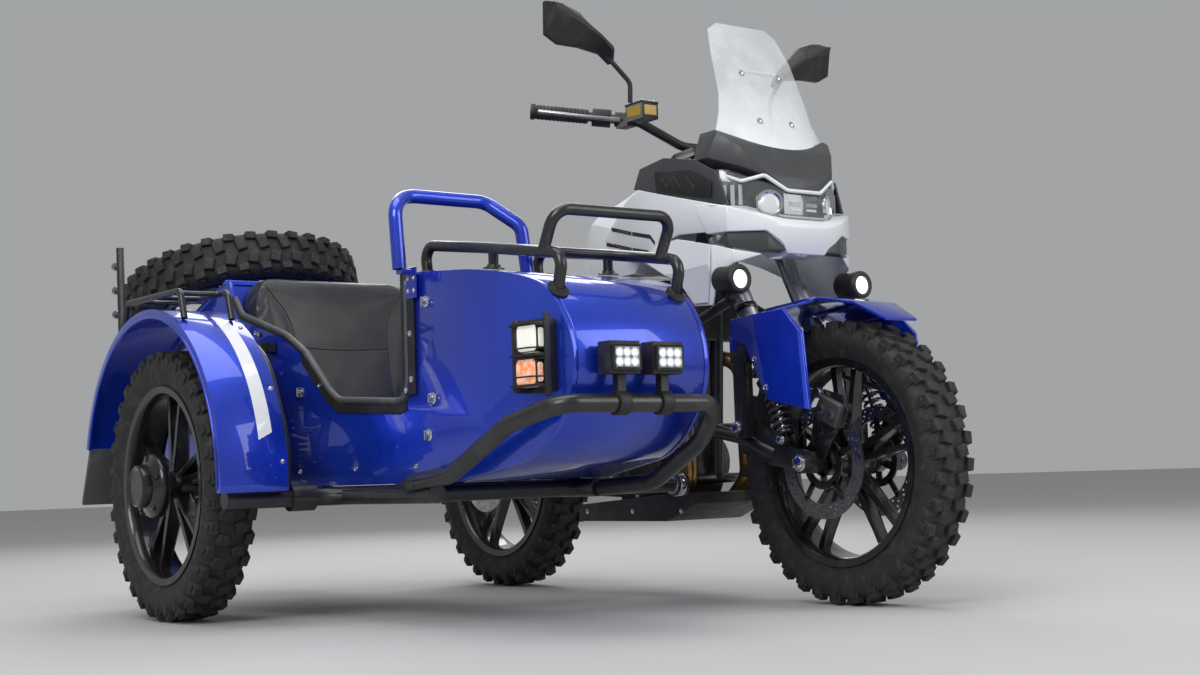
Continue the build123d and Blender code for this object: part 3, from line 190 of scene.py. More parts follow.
def outlineMesh(name, points, closed=True):
    # A bare outline of edges, ready to fill, extrude or spin
    mesh = bpy.data.meshes.new(name)
    count = len(points)
    last = count if closed else count - 1
    mesh.from_pydata([Vector(point) for point in points], [(i, (i + 1) % count) for i in range(last)], [])
    piece = bpy.data.objects.new(name, mesh)
    bpy.context.scene.collection.objects.link(piece)
    return piece


def slab(name, points, push, bevel=0.0, segments=2):
    # A closed outline filled and pushed out into a plate
    piece = outlineMesh(name, points)
    editAll(piece, "EDGE")
    bpy.ops.mesh.edge_face_add()
    bpy.ops.mesh.extrude_region_move(TRANSFORM_OT_translate={"value": push})
    bpy.ops.mesh.select_all(action="SELECT")
    bpy.ops.mesh.normals_make_consistent(inside=False)
    leaveEdit()
    if bevel:
        bevelEdges(piece, bevel, segments)
    return smooth(piece)


def lathe(name, profile, steps=72, angle=32):
    # Profile points are (across, radius); the axle lies along Y
    piece = outlineMesh(name, [(0, across, radius) for across, radius in profile], closed=False)
    editAll(piece, "VERT")
    bpy.ops.mesh.spin(steps=steps, angle=2 * pi, center=(0, 0, 0), axis=(0, 1, 0))
    leaveEdit()
    return smooth(outward(piece), angle)


def duplicate(piece, name, matrix=None):
    twin = piece.copy()
    twin.data = piece.data.copy()
    twin.name = name
    bpy.context.scene.collection.objects.link(twin)
    if matrix is not None:
        twin.data.transform(matrix)
        if matrix.determinant() < 0:
            twin.data.flip_normals()
    return twin


def join(name, pieces):
    pieces = [piece for piece in pieces if piece]
    pick(*pieces)
    if len(pieces) > 1:
        bpy.ops.object.join()
    piece = bpy.context.object
    piece.name = name
    piece.data.name = name
    return piece


def ringOf(piece, count, start=0.0):
    # Copies about the axle, all round
    name = piece.name
    turned = [duplicate(piece, name, Matrix.Rotation(start + 2 * pi * turn / count, 4, "Y"))
              for turn in range(count)]
    bpy.data.objects.remove(piece)
    return join(name, turned)


def tubeAlong(name, points, diameter, bend=0.03, closed=False, sides=6):
    # Bent bar: straight runs whose corners are rounded by a bevel before the tube is blown up
    piece = outlineMesh(name, points, closed)
    editAll(piece, "VERT")
    if bend and len(points) > 2:
        bpy.ops.mesh.bevel(offset=bend, segments=6, affect="VERTICES", clamp_overlap=True)
    leaveEdit()
    bpy.ops.object.convert(target="CURVE")
    piece = bpy.context.object
    piece.data.bevel_depth = diameter / 2
    piece.data.bevel_resolution = sides
    piece.data.use_fill_caps = True
    bpy.ops.object.convert(target="MESH")
    piece = bpy.context.object
    piece.name = name
    return smooth(outward(piece), 50)


# Shader expressions: a Signal is one output socket, and sums and products on it add their nodes

class Signal:
    def __init__(self, finish, socket):
        self.finish = finish
        self.socket = socket

    def maths(self, operation, first, second, clamp=False):
        settings = {"operation": operation, "use_clamp": clamp}
        return self.finish.node("ShaderNodeMath", settings, {0: first, 1: second})

    def __add__(self, other):
        return self.maths("ADD", self, other)

    __radd__ = __add__

    def __mul__(self, other):
        return self.maths("MULTIPLY", self, other)

    __rmul__ = __mul__

    def clamped(self):
        return self.maths("ADD", self, 0.0, clamp=True)


shaderSockets = {
    "colour": "Base Color", "roughness": "Roughness", "metallic": "Metallic", "normal": "Normal",
    "coat": "Coat Weight", "coatRoughness": "Coat Roughness", "alpha": "Alpha", "ior": "IOR",
    "glow": "Emission Color", "glowStrength": "Emission Strength", "clear": "Transmission Weight",
}


class Finish:
    def __init__(self, name):
        self.material = bpy.data.materials.new(name)
        self.material.use_nodes = True
        self.tree = self.material.node_tree
        self.shader = self.tree.nodes["Principled BSDF"]
        self.place = self.node("ShaderNodeTexCoord", {}, {}, "Object")

    def node(self, kind, settings, values, output=0):
        # One node: its settings first, then its sockets' values or links
        made = self.tree.nodes.new(kind)
        for key, value in settings.items():
            if key == "stops":
                ramp = made.color_ramp
                while len(ramp.elements) < len(value):
                    ramp.elements.new(0.5)
                for element, (position, colour) in zip(ramp.elements, value):
                    element.position = position
                    element.color = colour
            else:
                setattr(made, key, value)
        for key, value in values.items():
            if isinstance(value, Signal):
                self.tree.links.new(value.socket, made.inputs[key])
            else:
                made.inputs[key].default_value = value
        return Signal(self, made.outputs[output])

    def set(self, **values):
        for key, value in values.items():
            socket = self.shader.inputs[shaderSockets[key]]
            if isinstance(value, Signal):
                self.tree.links.new(value.socket, socket)
            else:
                socket.default_value = value
        return self

    def stretched(self, scale):
        return self.node("ShaderNodeMapping", {}, {"Vector": self.place, "Scale": scale})

    def noise(self, scale, detail=3.0, rough=0.5, place=None):
        values = {"Vector": place or self.place, "Scale": scale, "Detail": detail, "Roughness": rough}
        return self.node("ShaderNodeTexNoise", {}, values)

    def cells(self, scale, output="Distance", feature="F1"):
        values = {"Vector": self.place, "Scale": scale}
        return self.node("ShaderNodeTexVoronoi", {"feature": feature}, values, output)

    def fade(self, signal, low, high, start=0.0, end=1.0):
        values = {"Value": signal, "From Min": low, "From Max": high, "To Min": start, "To Max": end}
        return self.node("ShaderNodeMapRange", {"clamp": True}, values)

    def patchy(self, scale, detail, low, high):
        # Roughness that drifts between two values
        return self.fade(self.noise(scale, detail), 0.3, 0.7, low, high)

    def blend(self, mask, first, second):
        return self.node("ShaderNodeMix", {"data_type": "RGBA"}, {0: mask, 6: first, 7: second}, 2)

    def bump(self, height, strength=0.3, distance=0.001):
        values = {"Height": height, "Strength": strength, "Distance": distance}
        return self.node("ShaderNodeBump", {}, values)

    def axis(self, letter):
        return self.node("ShaderNodeSeparateXYZ", {}, {"Vector": self.place}, letter)


def rgb(red, green, blue):
    return (red, green, blue, 1.0)


shades = {
    "blue": rgb(0.004, 0.022, 0.40), "blueLight": rgb(0.006, 0.05, 0.62), "blueFlake": rgb(0.05, 0.16, 0.9),
    "white": rgb(0.78, 0.80, 0.83), "whiteLight": rgb(0.82, 0.84, 0.86),
    "black": rgb(0.012, 0.012, 0.013), "blackWorn": rgb(0.035, 0.035, 0.037),
    "rubber": rgb(0.016, 0.016, 0.016), "dust": rgb(0.085, 0.078, 0.068),
    "leather": rgb(0.024, 0.025, 0.028), "leatherRubbed": rgb(0.045, 0.046, 0.05),
    "grey": rgb(0.045, 0.047, 0.05), "cast": rgb(0.06, 0.06, 0.062), "steel": rgb(0.42, 0.42, 0.43),
    "umber": rgb(0.19, 0.085, 0.03), "bronze": rgb(0.36, 0.19, 0.06), "straw": rgb(0.5, 0.36, 0.16),
    "plum": rgb(0.3, 0.16, 0.12), "amber": rgb(0.85, 0.22, 0.01), "lens": rgb(0.85, 0.88, 0.9),
    "acrylic": rgb(0.9, 0.93, 0.96), "glare": rgb(1, 1, 1),
}
finishes = {}


def paintedFinish(name, deep, light, metallic=0.0, roughness=0.3, flake=0.0):
    # Coloured lacquer under a clear coat, with faint orange peel
    made = Finish(name)
    drift = made.fade(made.noise(2.2, 2.0), 0.35, 0.65)
    colour = made.blend(drift, deep, light)
    if flake:
        sparkle = made.node("ShaderNodeSeparateColor", {}, {"Color": made.cells(2400, "Color")}, 0)
        colour = made.blend(made.fade(sparkle, 0.7, 1.0, 0.0, flake), colour, shades["blueFlake"])
    made.set(colour=colour, metallic=metallic, coat=1.0, coatRoughness=0.04,
             roughness=made.patchy(40, 3.0, roughness * 0.85, roughness * 1.15),
             normal=made.bump(made.noise(160, 1.0), 0.02, 0.0006))
    finishes[name] = made.material


def satinFinish(name, base, worn, roughness, grain, depth, metallic=0.0, coat=0.0):
    made = Finish(name)
    wear = made.fade(made.noise(18, 6.0, 0.65), 0.52, 0.72)
    made.set(colour=made.blend(wear, base, worn), metallic=metallic, coat=coat,
             roughness=made.patchy(30, 4.0, roughness - 0.07, roughness + 0.09),
             normal=made.bump(made.noise(grain, 3.0), depth, 0.0006))
    finishes[name] = made.material


def leatherFinish(name):
    made = Finish(name)
    pebbles = made.cells(430, "Distance", "SMOOTH_F1") + made.noise(900, 2.0) * 0.35
    creases = made.noise(26, 4.0, 0.6)
    rubbed = made.fade(made.noise(7, 4.0), 0.45, 0.75)
    made.set(colour=made.blend(rubbed, shades["leather"], shades["leatherRubbed"]),
             roughness=made.patchy(12, 3.0, 0.32, 0.44),
             normal=made.bump(pebbles + creases * 0.8, 0.35, 0.0007))
    finishes[name] = made.material


def rubberFinish(name):
    made = Finish(name)
    dusty = made.fade(made.noise(34, 6.0, 0.7), 0.5, 0.75, 0.0, 0.55)
    made.set(colour=made.blend(dusty, shades["rubber"], shades["dust"]),
             roughness=made.patchy(60, 4.0, 0.62, 0.82),
             normal=made.bump(made.noise(420, 3.0) + made.noise(90, 2.0) * 0.6, 0.3, 0.0008))
    finishes[name] = made.material


def castFinish(name, base, worn, roughness=0.5, metallic=0.6):
    made = Finish(name)
    grain = made.noise(240, 5.0, 0.7)
    stain = made.fade(made.noise(9, 5.0), 0.42, 0.7)
    made.set(colour=made.blend(stain, base, worn), metallic=metallic,
             roughness=made.patchy(45, 3.0, roughness - 0.1, roughness + 0.12),
             normal=made.bump(grain, 0.35, 0.0007))
    finishes[name] = made.material


def heatFinish(name):
    # Tinted pipe: straw near the head, bronze and brown further along
    made = Finish(name)
    bands = made.fade(made.noise(8, 5.0) + made.axis("Z") * 0.6, 0.4, 1.0)
    stops = [(0.0, shades["umber"]), (0.45, shades["bronze"]), (0.8, shades["straw"]), (1.0, shades["plum"])]
    tint = made.node("ShaderNodeValToRGB", {"stops": stops}, {"Fac": bands})
    made.set(colour=tint, metallic=0.9, roughness=made.patchy(50, 3.0, 0.26, 0.42),
             normal=made.bump(made.noise(200, 2.0), 0.08, 0.0005))
    finishes[name] = made.material


def steelFinish(name, colour, roughness=0.3):
    made = Finish(name)
    brushed = made.noise(60, 3.0, 0.6, made.stretched((1, 22, 1)))
    darker = rgb(*[part * 0.7 for part in colour[:3]])
    made.set(colour=made.blend(made.fade(brushed, 0.3, 0.7), colour, darker), metallic=1.0,
             roughness=made.fade(brushed, 0.3, 0.7, roughness - 0.08, roughness + 0.12),
             normal=made.bump(brushed, 0.06, 0.0004))
    finishes[name] = made.material


def screenFinish(name):
    # Clear acrylic: whiter and more opaque towards the bottom, partly milky acrylic at the hem and partly a
    # painted highlight along the bright lower rim, with fine hazing
    made = Finish(name)
    # Painted highlight, partly real milkiness: the white acrylic grows more opaque towards the screen's
    # lower edge
    hemMilkAndHighlight = made.fade(made.axis("Z"), 1.1, 1.27, 0.62, 0.0)
    speck = made.fade(made.noise(15, 4.0), 0.45, 0.7, 0.0, 0.12)
    cover = (hemMilkAndHighlight + speck + 0.24).clamped()
    made.set(colour=shades["acrylic"], roughness=made.patchy(30, 3.0, 0.06, 0.14),
             alpha=cover, ior=1.49, coat=1.0, coatRoughness=0.03)
    finishes[name] = made.material


def lensFinish(name, colour, roughness=0.05, glow=0.0, clear=0.85, ribs=0.0):
    made = Finish(name)
    made.set(colour=colour, roughness=roughness, clear=clear, ior=1.45, coat=0.6, coatRoughness=0.03)
    if glow:
        hot = made.fade(made.noise(90, 2.0), 0.3, 0.7)
        made.set(glow=made.blend(hot, colour, shades["glare"]), glowStrength=glow)
    if ribs:
        values = {"Vector": made.place, "Scale": ribs}
        grooves = made.node("ShaderNodeTexWave", {"bands_direction": "Y"}, values)
        made.set(normal=made.bump(grooves, 0.4, 0.001))
    finishes[name] = made.material


paintedFinish("bluePaint", shades["blue"], shades["blueLight"], metallic=0.62, roughness=0.34, flake=0.35)
paintedFinish("whitePaint", shades["white"], shades["whiteLight"], roughness=0.36)
paintedFinish("blueTube", shades["blue"], shades["blueLight"], metallic=0.5, roughness=0.32)
satinFinish("blackTube", shades["black"], shades["blackWorn"], 0.36, 500, 0.12, coat=0.25)
satinFinish("blackPlastic", shades["black"], shades["blackWorn"], 0.52, 900, 0.35)
satinFinish("greyPlastic", shades["grey"], rgb(0.06, 0.062, 0.066), 0.42, 800, 0.22)
satinFinish("blackAlloy", rgb(0.01, 0.01, 0.011), rgb(0.03, 0.03, 0.032), 0.3, 320, 0.06, 0.3, 0.6)
castFinish("castMetal", shades["cast"], rgb(0.1, 0.095, 0.09))
castFinish("forkMetal", rgb(0.4, 0.41, 0.43), rgb(0.5, 0.5, 0.52), 0.32, 0.9)
heatFinish("bronzePipe")
steelFinish("brushedSteel", shades["steel"])
steelFinish("chrome", rgb(0.75, 0.76, 0.78), 0.14)
steelFinish("chainSteel", rgb(0.2, 0.19, 0.17), 0.42)
steelFinish("discSteel", rgb(0.34, 0.34, 0.35), 0.3)
lensFinish("podReflector", rgb(0.75, 0.76, 0.78), 0.25, glow=0.35, clear=0.0)
satinFinish("springCoat", rgb(0.02, 0.02, 0.022), rgb(0.06, 0.06, 0.062), 0.34, 300, 0.06, coat=0.5)
castFinish("coverMetal", rgb(0.14, 0.14, 0.145), rgb(0.2, 0.195, 0.19), 0.4, 0.8)
lensFinish("goldFluid", rgb(0.5, 0.3, 0.02), 0.1, clear=0.2)
leatherFinish("seatLeather")
rubberFinish("tyreRubber")
screenFinish("clearScreen")
lensFinish("lampGlass", shades["lens"])
lensFinish("amberLens", shades["amber"], 0.14, glow=0.5, clear=0.2, ribs=60)
lensFinish("whiteLens", rgb(0.9, 0.88, 0.78), 0.14, glow=0.45, clear=0.2, ribs=60)
lensFinish("litLamp", rgb(1, 1, 0.97), 0.2, glow=2.2, clear=0.0)
lensFinish("projectorLens", rgb(0.8, 0.82, 0.85), 0.08, glow=0.12, clear=0.3)
lensFinish("redLens", rgb(0.35, 0.01, 0.01), 0.1, clear=0.3, ribs=70)
lensFinish("lensClear", rgb(0.97, 0.98, 1.0), 0.02, clear=1.0)
satinFinish("lampInside", rgb(0.14, 0.145, 0.15), rgb(0.26, 0.265, 0.27), 0.22, 300, 0.04, 0.4, 1.0)
satinFinish("paleTrim", rgb(0.42, 0.44, 0.46), rgb(0.5, 0.52, 0.54), 0.32, 300, 0.05, coat=0.6)
satinFinish("greyRubber", rgb(0.07, 0.072, 0.076), rgb(0.12, 0.12, 0.125), 0.46, 700, 0.2)
satinFinish("milkyPlastic", rgb(0.6, 0.62, 0.64), rgb(0.7, 0.72, 0.74), 0.4, 300, 0.05, coat=0.5)
print("finishes made:", len(finishes))


def wear(piece, finish):
    piece.data.materials.clear()
    piece.data.materials.append(finishes[finish])
    return piece


def finished(piece, body, finish=None, replaced=()):
    if finish:
        wear(piece, finish)
    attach(piece, body)
    if replaced:
        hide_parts(*replaced)
    return piece


# CAD pieces that only need soft edges and a finish: node, body, slot, finish, edge radius in metres

carriedOver = [
    ("frame", "chassis", "black_tube", "blackTube", 0.0012),
    ("engine", "chassis", "engine_metal", "castMetal", 0.003),
    ("exhaust", "chassis", "bronze_pipe", "bronzePipe", 0.0),
    ("belly_pan", "chassis", "black_plastic", "blackPlastic", 0.002),
    ("swingarm", "chassis", "black_alloy", "blackAlloy", 0.003),
    ("front_fork", "steering", "black_tube", "blackTube", 0.002),
    ("front_links", "steering", "black_tube", "blackTube", 0.0015),
    ("front_calipers", "steering", "black_alloy", "blackAlloy", 0.003),
    ("front_mudguard", "steering", "blue_paint", "bluePaint", 0.0015),
    ("handlebar", "steering", "black_tube", "blackTube", 0.0),
    ("hand_controls", "steering", "black_plastic", "blackPlastic", 0.0015),
    ("mirrors", "steering", "black_plastic", "blackPlastic", 0.002),
    ("fuel_tank", "chassis", "white_paint", "whitePaint", 0.008),
    ("side_shrouds", "chassis", "white_paint", "whitePaint", 0.003),
    ("nose_cowl", "chassis", "white_paint", "whitePaint", 0.003),
    ("headlamp", "chassis", "lamp_glass", "lampGlass", 0.002),
    ("dash_cowl", "chassis", "grey_plastic", "greyPlastic", 0.004),
    ("windshield", "chassis", "clear_screen", "clearScreen", 0.001),
    ("tail_unit", "chassis", "black_plastic", "blackPlastic", 0.002),
    ("auxiliary_lamps", "chassis", "lamp_housing", "blackPlastic", 0.002),
    ("marker_lamps", "chassis", "lamp_housing", "blackPlastic", 0.002),
    ("rear_sprocket", "rear_wheel", "disc_steel", "brushedSteel", 0.0006),
    ("spare_carrier", "boot_lid", "black_tube", "blackTube", 0.0015),
    ("trunk_lid", "boot_lid", "blue_paint", "bluePaint", 0.002),
    ("cockpit_trim", "chassis", "black_trim", "blackPlastic", 0.0025),
    ("grab_hoop", "chassis", "blue_tube", "blueTube", 0.0),
    ("luggage_racks", "chassis", "black_tube", "blackTube", 0.0),
    ("light_bar", "chassis", "black_tube", "blackTube", 0.0),
    ("sidecar_frame", "chassis", "black_tube", "blackTube", 0.0),
    ("mudguard_stays", "chassis", "black_tube", "blackTube", 0.0),
    ("sidecar_suspension", "chassis", "black_tube", "blackTube", 0.0),
    ("sidecar_mudguard", "chassis", "blue_paint", "bluePaint", 0.0015),
    ("sidecar_outer_panel", "chassis", "blue_paint", "bluePaint", 0.003),
    ("sidecar_inner_panel", "chassis", "blue_paint", "bluePaint", 0.003),
    ("sidecar_nose_skin", "chassis", "blue_paint", "bluePaint", 0.003),
    ("sidecar_floor", "chassis", "floor_liner", "blackPlastic", 0.002),
    ("sidecar_bulkheads", "chassis", "blue_paint", "bluePaint", 0.002),
]


softening = {"weld": 0.00002, "flatWithin": 0.6, "bevelOver": 28, "smoothUnder": 34}


def unmarked(piece):
    for key in list(piece.keys()):
        del piece[key]
    return piece


def cadCopy(node, name):
    # A free copy of a CAD node, without the marks that tie it to its body
    piece = duplicate(frame["nodes"][node], name)
    piece.parent = None
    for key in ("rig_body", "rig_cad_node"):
        if key in piece:
            del piece[key]
    return piece


def softened(node, body, slot, finish, edge):
    # A merged copy of the CAD mesh, its flat triangles made whole faces, its edges rounded
    piece = cadCopy(node, node + "_dressed")
    editAll(piece)
    bpy.ops.mesh.remove_doubles(threshold=softening["weld"])
    bpy.ops.mesh.dissolve_limited(angle_limit=radians(softening["flatWithin"]))
    leaveEdit()
    if edge:
        bevelEdges(piece, edge, 2, softening["bevelOver"])
    smooth(piece, softening["smoothUnder"])
    return finished(piece, body, finish, (node,))


dressed = {}
for row in carriedOver:
    dressed[row[0]] = softened(*row)
print("CAD pieces carried over:", len(dressed))


# Tyres

tyre = {
    "radius": 0.3292, "tread": 0.0105, "width": 0.124, "bead": 0.2305, "beadHalf": 0.0445,
    "pitches": 34, "lean": 14, "centreBlock": (0.031, 0.036, 0.020),
    "shoulderBlock": (0.033, 0.024, 0.024), "sideLug": (0.020, 0.012, 0.034),
    "ribs": ((0.027, 0.0115), (0.036, 0.006)),
}


def treadBlock(name, size, middle, lean, taper):
    # One rubber block standing on the crown at the top of the tyre
    deselect()
    bpy.ops.mesh.primitive_cube_add(size=1, location=(0, 0, 0))
    piece = bpy.context.object
    piece.name = name
    piece.scale = size
    settle(piece)
    editFaces(piece, lambda centre, normal: normal.z > 0.9)
    bpy.ops.transform.resize(value=(taper, taper, 1))
    leaveEdit()
    bevelEdges(piece, 0.0016, 1)
    piece.data.transform(Matrix.Translation(middle) @ Matrix.Rotation(lean, 4, "Z"))
    return piece


def makeTyre():
    top = tyre["radius"] - tyre["tread"]
    half = tyre["width"] / 2
    wall = [(tyre["beadHalf"] - 0.009, tyre["bead"]), (tyre["beadHalf"], tyre["bead"] + 0.001),
            (tyre["beadHalf"] + 0.002, tyre["bead"] + 0.016), (half - 0.006, tyre["bead"] + 0.032),
            (half - 0.0015, tyre["bead"] + 0.048), (half - 0.001, top - 0.03), (half - 0.006, top - 0.014),
            (half - 0.018, top - 0.004), (half - 0.036, top - 0.001), (0.010, top)]
    profile = [(-across, radius) for across, radius in wall] + [(0, top)] + list(reversed(wall))
    profile.append((tyre["beadHalf"] - 0.014, tyre["bead"] + 0.006))
    profile.append((0.014 - tyre["beadHalf"], tyre["bead"] + 0.006))
    profile.append(profile[0])
    carcass = lathe("tyre", profile, 96, 50)
    halfPitch = pi / tyre["pitches"] / 2
    widthY, heightZ = tyre["centreBlock"][1:]
    crown = tyre["radius"] - heightZ / 2 - 0.0004
    blocks = []
    for side in (-1, 1):
        lean = side * radians(tyre["lean"])
        # Size, place across, height, lean, taper and turn of the three rows on one side
        rows = [
            ("centreBlock", widthY * 0.56, crown, lean, 0.82, side * halfPitch),
            ("shoulderBlock", half - 0.0165, tyre["radius"] - 0.0155, -lean * 0.5, 0.82, -side * halfPitch),
            ("sideLug", half - 0.0062, tyre["radius"] - 0.032, 0, 0.9, -side * halfPitch),
        ]
        for name, across, height, turned, taper, start in rows:
            one = treadBlock(name, tyre[name], (0, side * across, height), turned, taper)
            blocks.append(ringOf(one, tyre["pitches"], start))
    for rise, inset in tyre["ribs"]:
        radius = tyre["bead"] + rise
        for side in (-1, 1):
            edge = side * (half - inset)
            rib = [(edge - side * 0.003, radius - 0.0016), (edge + side * 0.0012, radius),
                   (edge - side * 0.003, radius + 0.0016)]
            blocks.append(lathe("wallRib", rib, 96))
    return wear(smooth(join("tyre", [carcass] + blocks), 40), "tyreRubber")


wheelBodies = {"front": "front_wheel", "rear": "rear_wheel", "sidecar": "sidecar_wheel", "spare": "boot_lid"}
wheelMiddles = {key: sum(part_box(f"{key}_tyre"), Vector()) / 2 for key in wheelBodies}
deck = {"rise": 194, "run": 615}
deckSlope = atan2(deck["rise"], deck["run"])


def standing(key):
    place = Matrix.Translation(wheelMiddles[key])
    if key != "spare":
        return place
    return place @ Matrix.Rotation(-deckSlope, 4, "Y") @ Matrix.Rotation(pi / 2, 4, "X")


# Rims

rim = {
    "half": 0.0498, "flange": 0.2418, "bead": 0.2302, "well": 0.2215, "hub": 0.034, "hubHalf": 0.0548,
    "bore": 0.0108, "pairs": 5, "spread": 9, "spokeRoot": (0.020, 0.042), "spokeTip": (0.014, 0.024),
    "flareFrom": 0.75, "flare": 1.62, "studs": 5, "studCircle": 0.024, "studAcross": 0.011,
}


def makeRim():
    half, well = rim["half"], rim["well"]
    barrel = [(-half, rim["flange"]), (0.004 - half, rim["flange"] + 0.0001),
              (0.0055 - half, rim["bead"] + 0.002),
              (0.012 - half, rim["bead"] - 0.0006), (0.020 - half, rim["bead"] - 0.002),
              (half - 0.020, rim["bead"] - 0.002), (half - 0.012, rim["bead"] - 0.0006),
              (half - 0.0055, rim["bead"] + 0.002), (half - 0.004, rim["flange"] + 0.0001),
              (half, rim["flange"]),
              (half - 0.001, well + 0.004), (half - 0.006, well), (half - 0.030, well - 0.0015),
              (0.030 - half, well - 0.0015), (0.006 - half, well), (0.001 - half, well + 0.004),
              (-half, rim["flange"])]
    parts = [lathe("rimBarrel", barrel, 96, 40)]
    hubHalf, hub = rim["hubHalf"], rim["hub"]
    bore = rim["bore"]
    hubLine = [(-hubHalf, bore), (-hubHalf, hub - 0.006), (0.004 - hubHalf, hub - 0.002),
               (0.016 - hubHalf, hub - 0.002), (0.020 - hubHalf, hub), (hubHalf - 0.020, hub),
               (hubHalf - 0.016, hub - 0.002), (hubHalf - 0.004, hub - 0.002), (hubHalf, hub - 0.006),
               (hubHalf, bore), (-hubHalf, bore)]
    parts.append(lathe("hub", hubLine, 48, 40))
    spokes = []
    for lean in (-rim["spread"], rim["spread"]):
        rootX, rootY = rim["spokeRoot"]
        tipX, tipY = rim["spokeTip"]
        low, high = hub * 0.8, well + 0.001
        spoke = block("spoke", (0, 0, (low + high) / 2), (rootX, rootY, high - low), 0)
        editAll(spoke)
        bpy.ops.mesh.subdivide(number_cuts=3)
        leaveEdit()
        for vertex in spoke.data.vertices:
            share = (vertex.co.z - low) / (high - low)
            flare = 1 + rim["flare"] * max(0.0, share - rim["flareFrom"])
            vertex.co.x *= (1 + (tipX / rootX - 1) * share) * flare
            vertex.co.y *= 1 + (tipY / rootY - 1) * share
        editFaces(spoke, lambda centre, normal: abs(normal.x) > 0.9)
        bpy.ops.mesh.inset(thickness=0.003, depth=-0.0025)
        leaveEdit()
        bevelEdges(spoke, 0.0014, 2, 40)
        spoke.data.transform(Matrix.Rotation(radians(lean), 4, "Y"))
        spokes.append(spoke)
    parts.append(ringOf(join("spokes", spokes), rim["pairs"]))
    for side in (-1, 1):
        inside, outside = [(0, side * across, rim["studCircle"]) for across in (hubHalf - 0.006, hubHalf)]
        stud = roundBar("stud", inside, outside, rim["studAcross"], 6)
        parts.append(ringOf(stud, rim["studs"]))
    return wear(smooth(join("rim", parts), 36), "blackAlloy")


tyreModel, rimModel = makeTyre(), makeRim()
for key, body in wheelBodies.items():
    for model, word, slot in ((tyreModel, "tyre", "tyre"), (rimModel, "rim", "black_alloy")):
        twin = duplicate(model, f"{key}_{word}_detailed", standing(key))
        finished(twin, body, None, (f"{key}_{word}",))
for model in (tyreModel, rimModel):
    bpy.data.objects.remove(model)
print("wheels made")


# Small hardware: domed bolts and their rings, modelled once about Z and copied

def axisToZ(piece):
    piece.data.transform(Matrix.Rotation(pi / 2, 4, "X"))
    return piece


def standOn(point, normal):
    return Matrix.Translation(point) @ Vector(normal).to_track_quat("Z", "Y").to_matrix().to_4x4()


def turnedOn(spot, normal, name, profile, steps, angle):
    # A lathe piece that stands on a point, its axle along the normal
    piece = axisToZ(lathe(name, profile, steps, angle))
    piece.data.transform(standOn(spot, normal))
    return piece


def boltModel(radius, height=0.0032):
    # A washer, a domed head and a hexagon socket
    profile = [(-0.0004, 0.0001), (-0.0004, radius * 1.45), (0.0009, radius * 1.4), (0.0011, radius),
               (height * 0.7, radius * 0.93), (height, radius * 0.62), (height, radius * 0.5)]
    head = axisToZ(lathe("bolt", profile, 18, 40))
    socket = roundBar("socket", (0, 0, height - 0.0016), (0, 0, height), radius, 6, 0)
    editFaces(socket, lambda centre, normal: normal.z > 0.9)
    bpy.ops.mesh.inset(thickness=radius * 0.12)
    bpy.ops.transform.translate(value=(0, 0, -0.0012))
    leaveEdit()
    return join("bolt", [head, socket])


def bolted(name, spots, body, finish="chrome", radius=0.0045):
    model = boltModel(radius)
    copies = [duplicate(model, name, standOn(point, normal)) for point, normal in spots]
    bpy.data.objects.remove(model)
    return finished(join(name, copies), body, finish)


def helix(name, low, high, radius, turns, wire, steps=16):
    turned = (high - low).to_track_quat("Z", "Y")
    points = []
    for step in range(turns * steps + 1):
        share = step / (turns * steps)
        angle = 2 * pi * turns * share
        ring = turned @ Vector((radius * cos(angle), radius * sin(angle), 0))
        points.append(low + (high - low) * share + ring)
    return tubeAlong(name, points, wire, 0, sides=3)


# The tub's side lines: the panels taper towards the nose, millimetres

tub = {"taperX": 250, "noseX": 1575, "outer": -980, "outerNose": -858, "inner": -430, "innerNose": -510}
outerLean = atan2(tub["outerNose"] - tub["outer"], tub["noseX"] - tub["taperX"])
innerLean = atan2(tub["innerNose"] - tub["inner"], tub["noseX"] - tub["taperX"])


def panelPoint(x, z, proud=0.0, side="outer"):
    lean = outerLean if side == "outer" else innerLean
    run = max(0.0, x - tub["taperX"])
    y = tub[side] + run * sin(lean) / cos(lean)
    return at(x, y - proud if side == "outer" else y + proud, z)


def panelNormal(x, side="outer"):
    if x <= tub["taperX"]:
        return Vector((0, -1 if side == "outer" else 1, 0))
    if side == "outer":
        return Vector((sin(outerLean), -cos(outerLean), 0))
    return Vector((-sin(innerLean), cos(innerLean), 0))


# Cushions: a voxel skin swollen by cloth pressure, held back along its seams

padding = {
    "voxel": 0.006, "frames": 20, "pressure": 4.0, "fill": 0.8, "seamReach": 5, "middle": -705,
    "backCap": 0.0095, "baseCap": 0.0085, "riderCap": 0.007, "baseChannel": 140, "riderSeam": 168,
    "backSide": [(171, 421), (172, 842), (190, 860), (226, 862), (250, 832), (303, 560), (309, 421)],
    "backWidth": (-935, -475), "backCorner": 62, "backTop": 862, "backFoot": 419,
    "baseSide": [(333, 421), (333, 508), (440, 518), (560, 522), (598, 500), (611, 450), (603, 421)],
    "baseWidth": (-916, -489),
    "backSeam": [(-914, 852), (-898, 826), (-883, 804), (-861, 776), (-845, 735), (-840, 692), (-838, 600),
                 (-842, 500)],
    "crossSeam": [(-838, 678), (-760, 673), (-705, 672), (-650, 673), (-572, 678)],
}


def rounding(centreY, centreZ, radius, start, end, steps=6):
    points = []
    for step in range(steps + 1):
        angle = radians(start + (end - start) * step / steps)
        points.append((centreY + radius * cos(angle), centreZ + radius * sin(angle)))
    return points


def nearLine(y, z, line, reach):
    spot = Vector((y, z))
    for (ay, az), (by, bz) in zip(line, line[1:]):
        start, run = Vector((ay, az)), Vector((by - ay, bz - az))
        share = min(1.0, max(0.0, (spot - start).dot(run) / run.length_squared))
        if (spot - start - run * share).length < reach:
            return True
    return False


